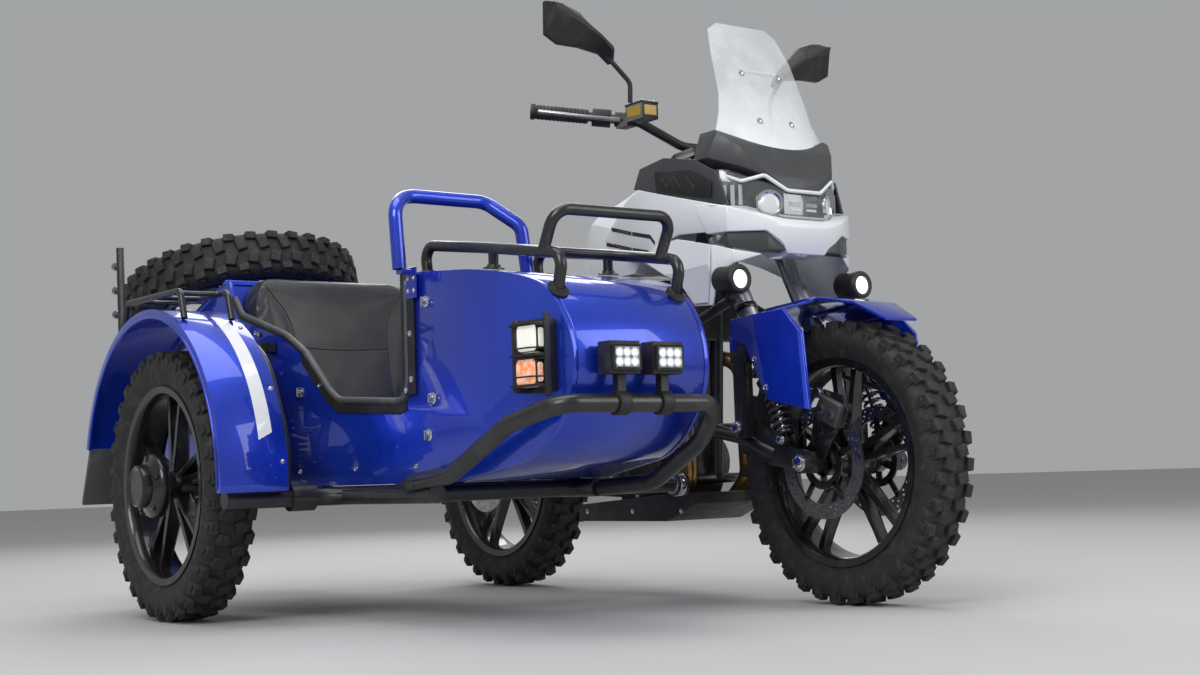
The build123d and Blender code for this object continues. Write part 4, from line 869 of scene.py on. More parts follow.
def padOut(piece, cap, pinned):
    # pinned tells, of a vertex, whether a seam or a seat holds it
    applyModifier(piece, "REMESH", mode="VOXEL", voxel_size=padding["voxel"])
    applyModifier(piece, "SMOOTH", factor=0.5, iterations=6)
    seams = piece.vertex_groups.new(name="seams")
    held = [vertex.index for vertex in piece.data.vertices if pinned(vertex.co, vertex.normal)]
    seams.add(held, 1.0, "REPLACE")
    rest = [vertex.co.copy() for vertex in piece.data.vertices]
    pick(piece)
    cloth = piece.modifiers.new("cloth", "CLOTH")
    cloth.settings.use_pressure = True
    cloth.settings.uniform_pressure_force = padding["pressure"]
    cloth.settings.effector_weights.gravity = 0.0
    cloth.settings.vertex_group_mass = "seams"
    for moment in range(1, padding["frames"] + 1):
        bpy.context.scene.frame_set(moment)
    bpy.ops.object.modifier_apply(modifier="cloth")
    bpy.context.scene.frame_set(1)
    for vertex, start in zip(piece.data.vertices, rest):
        move = vertex.co - start
        if move.length > cap:
            vertex.co = start + move.normalized() * cap
    piece.vertex_groups.clear()
    applyModifier(piece, "SUBSURF", levels=1, render_levels=1)
    return smooth(piece, 60)


def onSurface(piece, origin, direction, lift=0.0):
    # Where a line meets the piece, or None
    hit, place, normal = piece.ray_cast(origin, direction)[:3]
    return place + normal * lift if hit else None


def finerLine(line, pieces=6):
    points = []
    for (ay, az), (by, bz) in zip(line, line[1:]):
        for step in range(pieces):
            points.append((ay + (by - ay) * step / pieces, az + (bz - az) * step / pieces))
    return points + [line[-1]]


def pipingOn(name, piece, line, diameter, lift):
    # A welt that lies on the cushion's front along a line of Y and Z
    spots = []
    for y, z in finerLine(line):
        spot = onSurface(piece, at(500, y, z), Vector((-1, 0, 0)), lift)
        if spot is not None:
            spots.append(spot)
    return tubeAlong(name, spots, diameter, 0, sides=3)


def makeBackrest():
    low, high = padding["backWidth"]
    corner, top, foot = padding["backCorner"], padding["backTop"], padding["backFoot"]
    side = [at(x, low, z) for x, z in padding["backSide"]]
    body = slab("sidecar_backrest_pad", side, (0, (high - low) / 1000, 0))
    front = [(low, foot), (high, foot)] + rounding(high - corner, top - corner, corner, 0, 90)
    front += rounding(low + corner, top - corner, corner, 90, 180)
    cutter = slab("cutter", [at(100, y, z) for y, z in front], (0.4, 0, 0))
    applyModifier(body, "BOOLEAN", operation="INTERSECT", object=cutter)
    bpy.data.objects.remove(cutter)
    bevelEdges(body, 0.018, 3, 30)
    bolster = padding["backSeam"]
    farBolster = [(2 * padding["middle"] - y, z) for y, z in bolster]
    seams = (bolster, farBolster, padding["crossSeam"])

    def held(place, normal):
        spot = (place - originShift) * 1000
        if normal.x < -0.8:
            return True
        return normal.x > 0.2 and any(nearLine(spot.y, spot.z, seam, padding["seamReach"]) for seam in seams)

    padOut(body, padding["backCap"], held)
    finished(body, "chassis", "seatLeather", ("sidecar_cushions",))
    welts = [pipingOn("sidecar_backrest_seams", body, seam, 0.0032, 0.0002) for seam in seams]
    finished(join("sidecar_backrest_seams", welts), "chassis", "blackPlastic")


def makeSeatBase():
    low, high = padding["baseWidth"]
    side = [at(x, low, z) for x, z in padding["baseSide"]]
    body = slab("sidecar_seat_pad", side, (0, (high - low) / 1000, 0))
    bevelEdges(body, 0.016, 3, 30)

    def held(place, normal):
        spot = (place - originShift) * 1000
        if normal.z < -0.8:
            return True
        fromMiddle = abs(spot.y - padding["middle"])
        return normal.z > 0.3 and abs(fromMiddle - padding["baseChannel"]) < padding["seamReach"]

    padOut(body, padding["baseCap"], held)
    finished(body, "chassis", "seatLeather", ("sidecar_cushions",))


def makeRiderSeat():
    # Starts 7 mm inside its CAD solid, which it then fills
    body = cadCopy("rider_seat", "rider_seat_pad")
    outward(body)
    applyModifier(body, "REMESH", mode="VOXEL", voxel_size=padding["voxel"])
    applyModifier(body, "DISPLACE", strength=-0.007, mid_level=0.0)

    def held(place, normal):
        spot = (place - originShift) * 1000
        atSeam = normal.z > 0.2 and abs(spot.x - padding["riderSeam"]) < padding["seamReach"]
        return normal.z < -0.5 or atSeam

    padOut(body, padding["riderCap"], held)
    finished(body, "chassis", "seatLeather", ("rider_seat",))


makeBackrest()
makeSeatBase()
makeRiderSeat()
print("cushions made")


# Sidecar hub cap

hubCap = {
    "profile": [(-0.054, 0.0115), (-0.0545, 0.0775), (-0.058, 0.0790), (-0.072, 0.0780), (-0.078, 0.0745),
                (-0.086, 0.0600), (-0.090, 0.0530), (-0.104, 0.0515), (-0.1105, 0.0495), (-0.1135, 0.0455),
                (-0.1125, 0.0410), (-0.1105, 0.0380), (-0.1100, 0.0)],
    "boltCircle": 0.0655, "bolts": 5,
}


def makeHubCap():
    cap = lathe("sidecar_hub_cap", hubCap["profile"], 64, 32)
    foot, head = [(0, across, hubCap["boltCircle"]) for across in (-0.070, -0.088)]
    screw = roundBar("capScrew", foot, head, 0.015, 6)
    cap = join("sidecar_hub_cap", [cap, ringOf(screw, hubCap["bolts"])])
    cap.data.transform(standing("sidecar"))
    finished(cap, "sidecar_wheel", "blackAlloy")


makeHubCap()


# Lamps: each lens stands a little proud of the plain block that its housing has for it

lamps = {
    "pods": (-775, -665), "podFace": 1607, "podSize": (0.064, 0.046), "podMiddle": 553, "cellPitch": 19,
    "fogFace": (1303, 200, 767.2), "fogRadius": 0.0225,
    "markerX": 1455, "markerZ": 565, "markerLens": (0.065, 0.034, 0.059),
    "markerWires": (64, 14, -8, -44), "tailX": -477, "tailRows": (-900, -510), "tailZ": 560,
}


def lampCup(name, radius, depth):
    # A reflector bowl opening upwards about Z
    profile = [(0, radius * 0.25), (depth * 0.3, radius * 0.62), (depth * 0.7, radius * 0.88),
               (depth, radius), (depth, radius * 1.06), (0, radius * 1.06)]
    return axisToZ(lathe(name, profile, 20, 50))


def makePodLamps():
    cups, glows, covers, bezels = [], [], [], []
    wide, high = lamps["podSize"]
    face, level, pitch = lamps["podFace"], lamps["podMiddle"], lamps["cellPitch"]
    for y in lamps["pods"]:
        cups.append(block("pod", at(face - 1.5, y, level), (0.004, wide, high), 0))
        bezel = block("pod", at(face + 1, y, level), (0.007, wide + 0.006, high + 0.006), 0)
        editFaces(bezel, lambda centre, normal: normal.x > 0.9)
        bpy.ops.mesh.inset(thickness=0.005)
        bpy.ops.transform.translate(value=(-0.0035, 0, 0))
        leaveEdit()
        bezels.append(bevelEdges(bezel, 0.0012, 2))
        for column in (-1, 0, 1):
            for row in (-0.5, 0.5):
                spot = at(face + 0.6, y + column * pitch, level + row * pitch)
                cup = lampCup("cup", 0.0092, 0.003)
                cup.data.transform(standOn(spot, (1, 0, 0)))
                cups.append(cup)
                glows.append(roundBar("glow", spot, spot + Vector((0.0018, 0, 0)), 0.0115, 16, 0.0004))
        covers.append(block("cover", at(face + 3.6, y, level), (0.001, wide - 0.004, high - 0.004), 0))
    finished(join("light_pod_bezels", bezels), "chassis", "blackPlastic")
    finished(join("light_pod_reflectors", cups), "chassis", "podReflector")
    finished(join("light_pod_leds", glows), "chassis", "litLamp")
    finished(join("light_pod_glass", covers), "chassis", "lampGlass")


def makeFogLamps():
    x, y, z = lamps["fogFace"]
    radius = lamps["fogRadius"]
    dome = [(-0.002, 0.0), (-0.002, radius), (0.0, radius), (0.003, radius * 0.8), (0.0045, radius * 0.45),
            (0.005, 0.0)]
    collar = [(-0.004, radius), (0.0045, radius), (0.0055, radius + 0.002), (0.0055, radius + 0.008),
              (0.0035, radius + 0.011), (-0.004, radius + 0.0128), (-0.004, radius)]
    discs, rings = [], []
    for side in (-1, 1):
        spot = at(x, side * y, z)
        discs.append(turnedOn(spot, (1, 0, 0), "fog", dome, 40, 60))
        rings.append(turnedOn(spot, (1, 0, 0), "fogRing", collar, 48, 50))
    finished(join("fog_lamp_lenses", discs), "chassis", "litLamp")
    finished(join("fog_lamp_rings", rings), "chassis", "blackPlastic")


def makeMarkerLamp():
    # White over amber behind a wire cage, on the outer panel's slanting front
    middleX, middleZ = lamps["markerX"], lamps["markerZ"]
    normal = panelNormal(middleX)
    turn = Matrix.Rotation(outerLean, 4, "Z")
    for name, rise, depth, finish in (("marker_lens_white", 35, 0.0348, "whiteLens"),
                                      ("marker_lens_amber", -35, 0.0388, "amberLens")):
        lens = block(name, (0, 0, 0), lamps["markerLens"], 0.013, 5)
        place = panelPoint(middleX, middleZ + rise) + normal * depth
        lens.data.transform(Matrix.Translation(place) @ turn)
        finished(lens, "chassis", finish)
    cage = []
    wire = [(-0.034, -0.045), (-0.030, -0.0585), (0.030, -0.0585), (0.043, -0.032)]
    for rise in lamps["markerWires"]:
        cage.append(tubeAlong("cage", [(x, y, rise / 1000) for x, y in wire], 0.0036, 0.006, sides=3))
    cage.append(block("cage", (0.043, -0.028, 0), (0.005, 0.016, 0.168), 0.002))
    cage.append(block("cage", (-0.038, -0.027, 0), (0.022, 0.046, 0.150), 0.009, 4))
    cage = join("marker_lamp_cage", cage)
    cage.data.transform(Matrix.Translation(panelPoint(middleX, middleZ)) @ turn)
    finished(cage, "chassis", "blackPlastic")


def makeTailLamps():
    dome = [(-0.001, 0), (-0.001, 0.032), (0.001, 0.032), (0.004, 0.026), (0.0055, 0.012), (0.006, 0)]
    collar = [(-0.018, 0.0362), (-0.002, 0.0368), (0.0022, 0.0355), (0.0030, 0.0335), (0.0010, 0.0315),
              (-0.018, 0.0315), (-0.018, 0.0362)]
    lenses, rings = [], []
    for y in lamps["tailRows"]:
        spot = at(lamps["tailX"], y, lamps["tailZ"])
        lenses.append(turnedOn(spot, (-1, 0, 0), "tail", dome, 40, 60))
        rings.append(turnedOn(spot, (-1, 0, 0), "tailRing", collar, 48, 40))
    finished(join("tail_lamp_lenses", lenses), "chassis", "redLens")
    finished(join("tail_lamp_rings", rings), "chassis", "chrome")


makePodLamps()
makeFogLamps()
makeMarkerLamp()
makeTailLamps()
print("lamps made")


# Headlamp interior under a clear shell

headlight = {
    "projector": (1304, 96, 953), "projectorTurn": 32, "projectorRadius": 0.0235,
    "bars": [(1317, -26, 940), (1317, 26, 940)], "glassLift": 0.0032,
    "slats": [(1240, 181.5), (1252, 167), (1264, 152.5)], "slatLow": 950, "slatHigh": 1000, "slatTurn": 50.5,
    "brow": [(1242, -176, 1022), (1266, -150, 1008), (1305, -110, 1020), (1322, -54, 984), (1322, 54, 984),
             (1305, 110, 1020), (1266, 150, 1008), (1242, 176, 1022)],
    "sill": [(1236, -187, 949), (1270, -147, 945), (1319, -62, 921), (1319, 62, 921), (1270, 147, 945),
             (1236, 187, 949)],
}


def makeHeadlight():
    body = dressed["headlamp"]
    shell = unmarked(duplicate(body, "headlamp_glass"))
    applyModifier(shell, "DISPLACE", strength=headlight["glassLift"], mid_level=0.0)
    finished(shell, "chassis", "lensClear")
    wear(body, "lampInside")
    bowls, glasses, slats = [], [], []
    turn = radians(headlight["projectorTurn"])
    radius = headlight["projectorRadius"]
    bowl = [(-0.006, radius * 1.5), (0.0012, radius * 1.42), (0.0016, radius * 1.2), (-0.002, radius * 1.02),
            (-0.002, radius * 0.9)]
    eye = [(-0.002, radius), (0.0002, radius * 0.8), (0.0016, radius * 0.5), (0.0022, 0.0)]
    x, y, z = headlight["projector"]
    for side in (-1, 1):
        spot, facing = at(x, side * y, z), (cos(turn), side * sin(turn), 0.05)
        bowls.append(turnedOn(spot, facing, "bowl", bowl, 40, 40))
        glasses.append(turnedOn(spot, facing, "eye", eye, 32, 60))
    for x, y, z in headlight["bars"]:
        glasses.append(block("bar", at(x, y, z), (0.004, 0.034, 0.007), 0.001))
        slats.append(block("barFrame", at(x - 0.6, y, z + 13), (0.004, 0.040, 0.010), 0.001))
    low, high = headlight["slatLow"], headlight["slatHigh"]
    for x, y in headlight["slats"]:
        for side in (-1, 1):
            slat = block("slat", (0, 0, 0), (0.010, 0.005, (high - low) / 1000), 0.001)
            lean = Matrix.Rotation(-side * radians(headlight["slatTurn"]), 4, "Z")
            slat.data.transform(Matrix.Translation(at(x, side * y, (low + high) / 2)) @ lean)
            slats.append(slat)
    finished(join("headlamp_bowls", bowls), "chassis", "chrome")
    finished(join("headlamp_eyes", glasses), "chassis", "projectorLens")
    finished(join("headlamp_slats", slats), "chassis", "paleTrim")
    brow = tubeAlong("headlamp_brow", [at(*spot) for spot in headlight["brow"]], 0.010, 0.006, sides=3)
    finished(brow, "chassis", "whitePaint")
    sill = tubeAlong("headlamp_sill", [at(*spot) for spot in headlight["sill"]], 0.007, 0.006, sides=3)
    finished(sill, "chassis", "paleTrim")


makeHeadlight()


# Windshield fittings: four screws and the brace across

screenFittings = {
    "screws": [(-61, 1299, 0.9), (-52, 1170, 0.95), (52, 1170, 0.95), (61, 1299, 0.9)],
    "brace": [(1176, -58, 1307), (1176, 58, 1307)],
}


def makeScreenFittings():
    screen = dressed["windshield"]
    spots = []
    for y, z, lean in screenFittings["screws"]:
        place = onSurface(screen, at(1500, y, z), Vector((-1, 0, 0)), 0.0004)
        spots.append((place, (lean, 0, 0.35)))
    bolted("windshield_bolts", spots, "chassis", "chrome", 0.006)
    brace = tubeAlong("windshield_brace", [at(*spot) for spot in screenFittings["brace"]], 0.009, 0)
    finished(brace, "chassis", "milkyPlastic")


makeScreenFittings()
print("nose details made")


# Creased panels laid on flat CAD sheets: outline X and Z, then crease lines and how far they stand out

creases = {
    "front_mudguard_cheeks": {
        "body": "steering", "slot": "blue_paint", "finish": "bluePaint", "y": 187.2, "thick": 2.5,
        "outline": [(1249, 674), (1432, 684), (1491, 627), (1507, 450), (1372, 480), (1297, 612),
                    (1249, 632)],
        "lines": [((1340, 700), (1392, 440), 13), ((1478, 700), (1500, 440), 5)],
    },
    "side_shroud_facets": {
        "body": "chassis", "slot": "white_paint", "finish": "whitePaint", "y": 216.5, "thick": 2.0,
        "outline": [(960, 850), (1018, 884), (1100, 886), (1222, 858), (1218, 792), (1206, 720), (1154, 722),
                    (1103, 779)],
        "lines": [((1000, 800), (1260, 812), 9)],
    },
}


def makeCreased(name):
    facts = creases[name]
    face = (facts["y"] + facts["thick"] / 2) / 1000
    halves = []
    for side in (-1, 1):
        outer = facts["y"] * side
        outline = [at(x, outer, z) for x, z in facts["outline"]]
        plate = slab(name, outline, (0, side * facts["thick"] / 1000, 0))
        for (ax, az), (bx, bz), rise in facts["lines"]:
            start, end = at(ax, 0, az), at(bx, 0, bz)
            across = Vector((-(end - start).z, 0, (end - start).x)).normalized()
            editAll(plate)
            bpy.ops.mesh.bisect(plane_co=start, plane_no=across)
            leaveEdit()
            for vertex in plate.data.vertices:
                onLine = abs((vertex.co - start).dot(across)) < 0.0003
                if onLine and (vertex.co.y - originShift.y) * side > face:
                    vertex.co.y += side * rise / 1000
        halves.append(bevelEdges(outward(plate), 0.0012, 2, 12))
    piece = smooth(join(name, halves), 14)
    finished(piece, facts["body"], facts["finish"])


for name in creases:
    makeCreased(name)


# Dark panels between the cowl and the shrouds, each with three slanting ribs

sidePanel = {
    "outline": [(1004, 1068), (1150, 1050), (1222, 1012), (1218, 972), (1150, 985), (1012, 1016)],
    "y": 205.6, "thick": 0.0022, "rib": ((1030, 1052), (1060, 1018)), "ribY": 208, "ribs": 3,
    "step": (50, -8),
}


def makeSidePanels():
    panels = []
    stepX, stepZ = sidePanel["step"]
    for side in (-1, 1):
        outline = [at(x, side * sidePanel["y"], z) for x, z in sidePanel["outline"]]
        panels.append(slab("side_panel", outline, (0, side * sidePanel["thick"], 0), 0.001))
        for index in range(sidePanel["ribs"]):
            ends = [at(x + index * stepX, side * sidePanel["ribY"], z + index * stepZ)
                    for x, z in sidePanel["rib"]]
            panels.append(roundBar("rib", *ends, 0.005, 8, 0))
    finished(join("cowl_side_panels", panels), "chassis", "blackPlastic")


makeSidePanels()


# Cockpit edge: beads along the cut-outs, wide strips at the front, bolts and turn-buttons

coaming = {
    "edge": [(224, 806), (262, 760), (468, 692), (556, 642), (662, 540), (700, 517), (940, 501), (966, 508),
             (982, 540), (982, 786)],
    "bead": 0.015,
    "strip": (964, 1012), "stripLow": 512, "stripHigh": 786,
    "stripBolts": [(990, 764), (998, 649), (1000, 547), (978, 524), (330, 706), (345, 702), (620, 556)],
    "turnButtons": [(1052, 716), (1070, 500), (530, 545), (-60, 560), (1052, 420)],
    "lowBolts": [(-300, 352), (-100, 352), (100, 352), (300, 352), (520, 352), (760, 352), (1000, 352),
                 (1180, 372)],
}


def makeCoaming():
    beads, strips = [], []
    back, front = coaming["strip"]
    low, high = coaming["stripLow"], coaming["stripHigh"]
    for side in ("outer", "inner"):
        line = [panelPoint(x, z, 1.0, side) for x, z in coaming["edge"]]
        beads.append(tubeAlong("bead", line, coaming["bead"], 0.02, sides=5))
        middle = panelPoint((back + front) / 2, (low + high) / 2, 3.4, side)
        strip = block("strip", (0, 0, 0), ((front - back) / 1000, 0.0058, (high - low) / 1000), 0.002)
        lean = outerLean if side == "outer" else innerLean
        strip.data.transform(Matrix.Translation(middle) @ Matrix.Rotation(lean, 4, "Z"))
        strips.append(strip)
    finished(join("cockpit_edge_beads", beads), "chassis", "greyRubber")
    finished(join("cockpit_front_strips", strips), "chassis", "blackPlastic")
    spots = []
    for side in ("outer", "inner"):
        for x, z in coaming["stripBolts"]:
            proud = 6.4 if x > back and z > 500 else 4.0
            spots.append((panelPoint(x, z, proud, side), panelNormal(x, side)))
        for x, z in coaming["lowBolts"]:
            spots.append((panelPoint(x, z, 0.2, side), panelNormal(x, side)))
    bolted("sidecar_panel_bolts", spots, "chassis", "chrome", 0.005)


def turnButton():
    # Oval base, post and a wing to twist
    profile = [(0, 0), (0, 0.013), (0.0016, 0.0135), (0.0028, 0.012), (0.003, 0.006), (0.009, 0.005),
               (0.0095, 0)]
    base = axisToZ(lathe("button", profile, 24, 40))
    wing = block("wing", (0, 0, 0.0105), (0.0045, 0.022, 0.006), 0.0018, 2)
    return join("button", [base, wing])


def makeTurnButtons():
    model = turnButton()
    copies = []
    for side in ("outer", "inner"):
        for x, z in coaming["turnButtons"]:
            place = standOn(panelPoint(x, z, 0.3, side), panelNormal(x, side))
            copies.append(duplicate(model, "button", place))
    bpy.data.objects.remove(model)
    finished(join("sidecar_turn_buttons", copies), "chassis", "chrome")


makeCoaming()
makeTurnButtons()


# Sidecar mudguard: white stripe on the front run, a rolled edge, and its bolts

guard = {
    "centre": (316, 330), "radius": 428, "outer": -1262, "inner": -1097, "start": -2, "end": 166,
    "stripe": (-1164, -1129), "stripeRun": (14, 64), "stripeSkew": 1.2, "stripeProud": 0.5,
    "rollDepth": -19, "rollAcross": 0.007, "bolts": (6, 30, 60, 92, 124, 152),
}


def guardPoint(angle, y, proud=0.0):
    turn = radians(angle)
    radius = guard["radius"] + proud
    return at(guard["centre"][0] + radius * cos(turn), y, guard["centre"][1] + radius * sin(turn))


def makeGuardDetails():
    low, high = guard["stripe"]
    start, end = guard["stripeRun"]
    turn = radians(end - start)
    skew, proud = guard["stripeSkew"], guard["stripeProud"]
    across = [guardPoint(start - skew, low, proud), guardPoint(start + skew, high, proud)]
    stripe = outlineMesh("mudguard_stripe", across, False)
    editAll(stripe, "VERT")
    middleX, middleZ = guard["centre"]
    bpy.ops.mesh.spin(steps=40, angle=turn, center=at(middleX, 0, middleZ), axis=(0, 1, 0))
    leaveEdit()
    applyModifier(stripe, "SOLIDIFY", thickness=0.0006, offset=0)
    finished(smooth(outward(stripe)), "chassis", "whitePaint")
    rolls = []
    for y in (guard["outer"], guard["inner"]):
        angles = range(guard["start"], guard["end"] + 1, 4)
        line = [guardPoint(angle, y, guard["rollDepth"]) for angle in angles]
        rolls.append(tubeAlong("roll", line, guard["rollAcross"], 0, sides=3))
    finished(join("mudguard_rolled_edges", rolls), "chassis", "bluePaint")
    spots = []
    for angle in guard["bolts"]:
        turn = radians(angle)
        spots.append((guardPoint(angle, guard["inner"] - 12, 0.2), (cos(turn), 0, sin(turn))))
    bolted("mudguard_bolts", spots, "chassis", "chrome", 0.0045)


makeGuardDetails()
print("sidecar edges made")


# Shock absorbers: real coils in place of the stacked plates of the CAD solids

shocks = {
    "front": {"low": (1392, 158, 392), "high": (1300.6, 158, 640), "body": (118, 254, 36), "rod": 14,
              "coil": (12, 119), "coilRadius": 20, "wire": 7.6, "turns": 6},
    "rear": {"low": (385, 0, 401), "high": (470, 0, 668), "body": (14, 176, 42), "rod": 20,
             "coil": (42, 230), "coilRadius": 34, "wire": 9.5, "turns": 7},
    "sidecar": {"low": (372, -1045, 332), "high": (402, -1040, 672), "coil": (34, 176), "coilRadius": 30.5,
                "wire": 9, "turns": 7},
    "bracket": (1296.1, 141, 627.5), "bracketSize": (0.0205, 0.0215, 0.0545),
}


def shockLine(key, side=1):
    low, high = [at(x, y * side, z) for x, y, z in (shocks[key]["low"], shocks[key]["high"])]
    run = (high - low).normalized()
    return lambda distance: low + run * distance / 1000, (high - low).length * 1000


def shockCoil(key, name, inset=0, side=1):
    facts = shocks[key]
    along = shockLine(key, side)[0]
    low, high = facts["coil"]
    first, last = along(low + inset), along(high - inset)
    return helix(name, first, last, facts["coilRadius"] / 1000, facts["turns"], facts["wire"] / 1000)


def shockUnit(key, side=1):
    facts = shocks[key]
    along, length = shockLine(key, side)
    start, end, across = facts["body"]
    first, last = facts["coil"]
    outer = (facts["coilRadius"] * 2 + facts["wire"] + 3) / 1000
    black = [
        roundBar("body", along(start), along(end), across / 1000, 32, 0.002),
        roundBar("seat", along(first - 7), along(first), outer, 32, 0.0015),
        roundBar("seat", along(last), along(last + 7), outer, 32, 0.0015),
        roundBar("ring", along(last + 9), along(last + 13), outer - 0.006, 24, 0.001),
    ]
    bright = [roundBar("rod", along(-4), along(length + 4), facts["rod"] / 1000, 24, 0)]
    return black, bright


def makeShocks():
    black, bright, coils = [], [], []
    low, high = shocks["front"]["low"], shocks["front"]["high"]
    bracketX, bracketY, bracketZ = shocks["bracket"]
    for side in (-1, 1):
        dark, light = shockUnit("front", side)
        black += dark
        bright += light
        coils.append(shockCoil("front", "coil", 3, side))
        for (x, z), near in (((low[0], low[2] - 6), 146), ((high[0] - 4, high[2] + 8), 140)):
            black.append(roundBar("eye", at(x, side * near, z), at(x, side * 168, z), 0.026, 28, 0.0015))
            bright.append(roundBar("eyeBolt", at(x, side * 167, z), at(x, side * 173, z), 0.013, 6, 0.0008))
        spot = at(bracketX, side * bracketY, bracketZ)
        black.append(block("bracket", spot, shocks["bracketSize"], 0.002))
    finished(join("front_shock_bodies", black), "steering", "blackAlloy", ("front_shocks",))
    finished(join("front_shock_rods", bright), "steering", "chrome")
    finished(join("front_shock_coils", coils), "steering", "springCoat")
    black, bright = shockUnit("rear")
    for x, _, z in (shocks["rear"]["low"], shocks["rear"]["high"]):
        black.append(roundBar("eye", at(x, -17, z), at(x, 17, z), 0.034, 28, 0.002))
    body = join("rear_shock_body", black + bright)
    finished(body, "chassis", "blackAlloy", ("rear_shock",))
    for coil in (shockCoil("rear", "rear_shock_coil", 3), shockCoil("sidecar", "sidecar_shock_coil")):
        finished(coil, "chassis", "springCoat")


makeShocks()


# Fork tubes above the shoes: rake and offset as in the CAD source

fork = {
    "headX": 914, "headZ": 1130, "rake": 27, "offset": 70, "y": 100, "low": 634, "high": 892,
    "across": 0.0512, "collars": (634, 700), "collarHigh": 14, "collarAcross": 0.0572,
}


def forkPoint(z, side):
    rake = radians(fork["rake"])
    x = fork["headX"] + (fork["headZ"] - z) * sin(rake) / cos(rake) + fork["offset"] / cos(rake)
    return at(x, side * fork["y"], z)


def makeForkTubes():
    sleeves, collars = [], []
    for side in (-1, 1):
        foot, head = forkPoint(fork["low"], side), forkPoint(fork["high"], side)
        sleeves.append(roundBar("sleeve", foot, head, fork["across"], 40, 0.001))
        for z in fork["collars"]:
            ends = [forkPoint(level, side) for level in (z, z + fork["collarHigh"])]
            collars.append(roundBar("collar", *ends, fork["collarAcross"], 40, 0.002))
    finished(join("fork_tubes_bright", sleeves), "steering", "forkMetal")
    finished(join("fork_collars", collars), "steering", "blackAlloy")


makeForkTubes()


# Front brake discs, drilled, each on a five-armed carrier

brake = {
    "outer": 0.130, "inner": 0.0965, "thick": 0.0048, "y": 0.090, "carrier": 0.028, "eye": 0.0106,
    "holeRings": ((0.1035, 0), (0.1125, 4), (0.1215, 8)), "holes": 30, "holeSize": 0.0068, "hubSide": 0.0548,
    "spider": (0.044, 0.062), "caliperBolts": [(1318, 368), (1318, 420), (1356, 420)], "boltY": 130.5,
}


def hoop(name, near, far, inner, outer, steps):
    # A flat ring about the axle, its far face as wide as its near one
    profile = [(near, inner), (near, outer), (far, outer), (far, inner), (near, inner)]
    return lathe(name, profile, steps, 40)


def makeDiscs():
    half = brake["thick"] / 2
    plate = hoop("disc", -half, half, brake["inner"], brake["outer"], 120)
    drills = []
    for radius, turn in brake["holeRings"]:
        drill = roundBar("drill", (0, -0.02, radius), (0, 0.02, radius), brake["holeSize"], 10, 0)
        drills.append(ringOf(drill, brake["holes"], radians(turn)))
    drill = join("drill", drills)
    applyModifier(plate, "BOOLEAN", operation="DIFFERENCE", object=drill)
    bpy.data.objects.remove(drill)
    arm = block("arm", (0, 0, 0.079), (0.015, brake["thick"], 0.048), 0.0012)
    arms = [ringOf(arm, 5), hoop("spider", -half, half, *brake["spider"], 60)]
    tie = block("tie", (0, 0, 0.034), (0.018, brake["thick"], 0.026), 0.001)
    arms.append(ringOf(tie, 5, radians(36)))
    bobbin = roundBar("bobbin", (0, -half - 0.0015, 0.1), (0, half + 0.0015, 0.1), 0.012, 20, 0.0008)
    arms.append(ringOf(bobbin, 5))
    plates, spiders = [], []
    place = Matrix.Translation(wheelMiddles["front"])
    for side in (-1, 1):
        here = place @ Matrix.Translation((0, side * brake["y"], 0))
        plates.append(duplicate(plate, "plate", here))
        for piece in arms:
            spiders.append(duplicate(piece, "spider", here))
        low, high = sorted((side * brake["hubSide"], side * (brake["y"] + half)))
        profile = [(low, brake["eye"]), (low, brake["carrier"] + 0.004), (high, brake["carrier"]),
                   (high, brake["eye"]), (low, brake["eye"])]
        carrier = lathe("carrier", profile, 40, 40)
        carrier.data.transform(place)
        spiders.append(carrier)
    for piece in [plate] + arms:
        bpy.data.objects.remove(piece)
    discs = smooth(join("front_discs_drilled", plates), 30)
    finished(discs, "front_wheel", "discSteel", ("front_discs",))
    finished(smooth(join("front_disc_carriers", spiders), 30), "front_wheel", "blackAlloy")
    spots = []
    for side in (-1, 1):
        spots += [(at(x, side * brake["boltY"], z), (0, side, 0)) for x, z in brake["caliperBolts"]]
    bolted("front_caliper_bolts", spots, "steering")


makeDiscs()
print("suspension and brakes made")


# Drive chain: links laid round the pinion and the sprocket

chain = {
    "rear": 95.5, "front": 42.5, "pinion": (578, 400), "hub": (0, 330), "y": 95, "pitch": 15.9, "steps": 24,
    "plate": (0.0238, 0.0105, 0.0017), "inner": 0.0046, "outer": 0.0064, "roller": 0.0084,
}


def chainLine():
    # The loop's centre line in X and Z: two straight runs and two arcs
    (px, pz), (hx, hz) = chain["pinion"], chain["hub"]
    tilt = atan2(pz - hz, px - hx)
    span = ((px - hx) ** 2 + (pz - hz) ** 2) ** 0.5
    swing = (chain["rear"] - chain["front"]) / span
    points = []
    for centre, radius, start, end in (
        (chain["pinion"], chain["front"], pi / 2 - swing, swing - pi / 2),
        (chain["hub"], chain["rear"], swing - pi / 2, -3 * pi / 2 - swing),
    ):
        for step in range(chain["steps"] + 1):
            angle = tilt + start + (end - start) * step / chain["steps"]
            points.append(Vector((centre[0] + radius * cos(angle), centre[1] + radius * sin(angle))))
    return points


def evenlyAlong(points, count):
    closed = points + [points[0]]
    lengths = [(b - a).length for a, b in zip(closed, closed[1:])]
    total = sum(lengths)
    places, index, passed = [], 0, 0.0
    for step in range(count):
        wanted = total * step / count
        while passed + lengths[index] < wanted:
            passed += lengths[index]
            index += 1
        share = (wanted - passed) / lengths[index]
        places.append(closed[index].lerp(closed[index + 1], share))
    return places


def chainPlate(y):
    length, height, thick = chain["plate"]
    plate = block("plate", (0, y, 0), (length, thick, height), 0)
    editEdges(plate, lambda a, b: abs(a.y - b.y) > thick * 0.9)
    bpy.ops.mesh.bevel(offset=height * 0.42, segments=3, affect="EDGES")
    leaveEdit()
    return plate


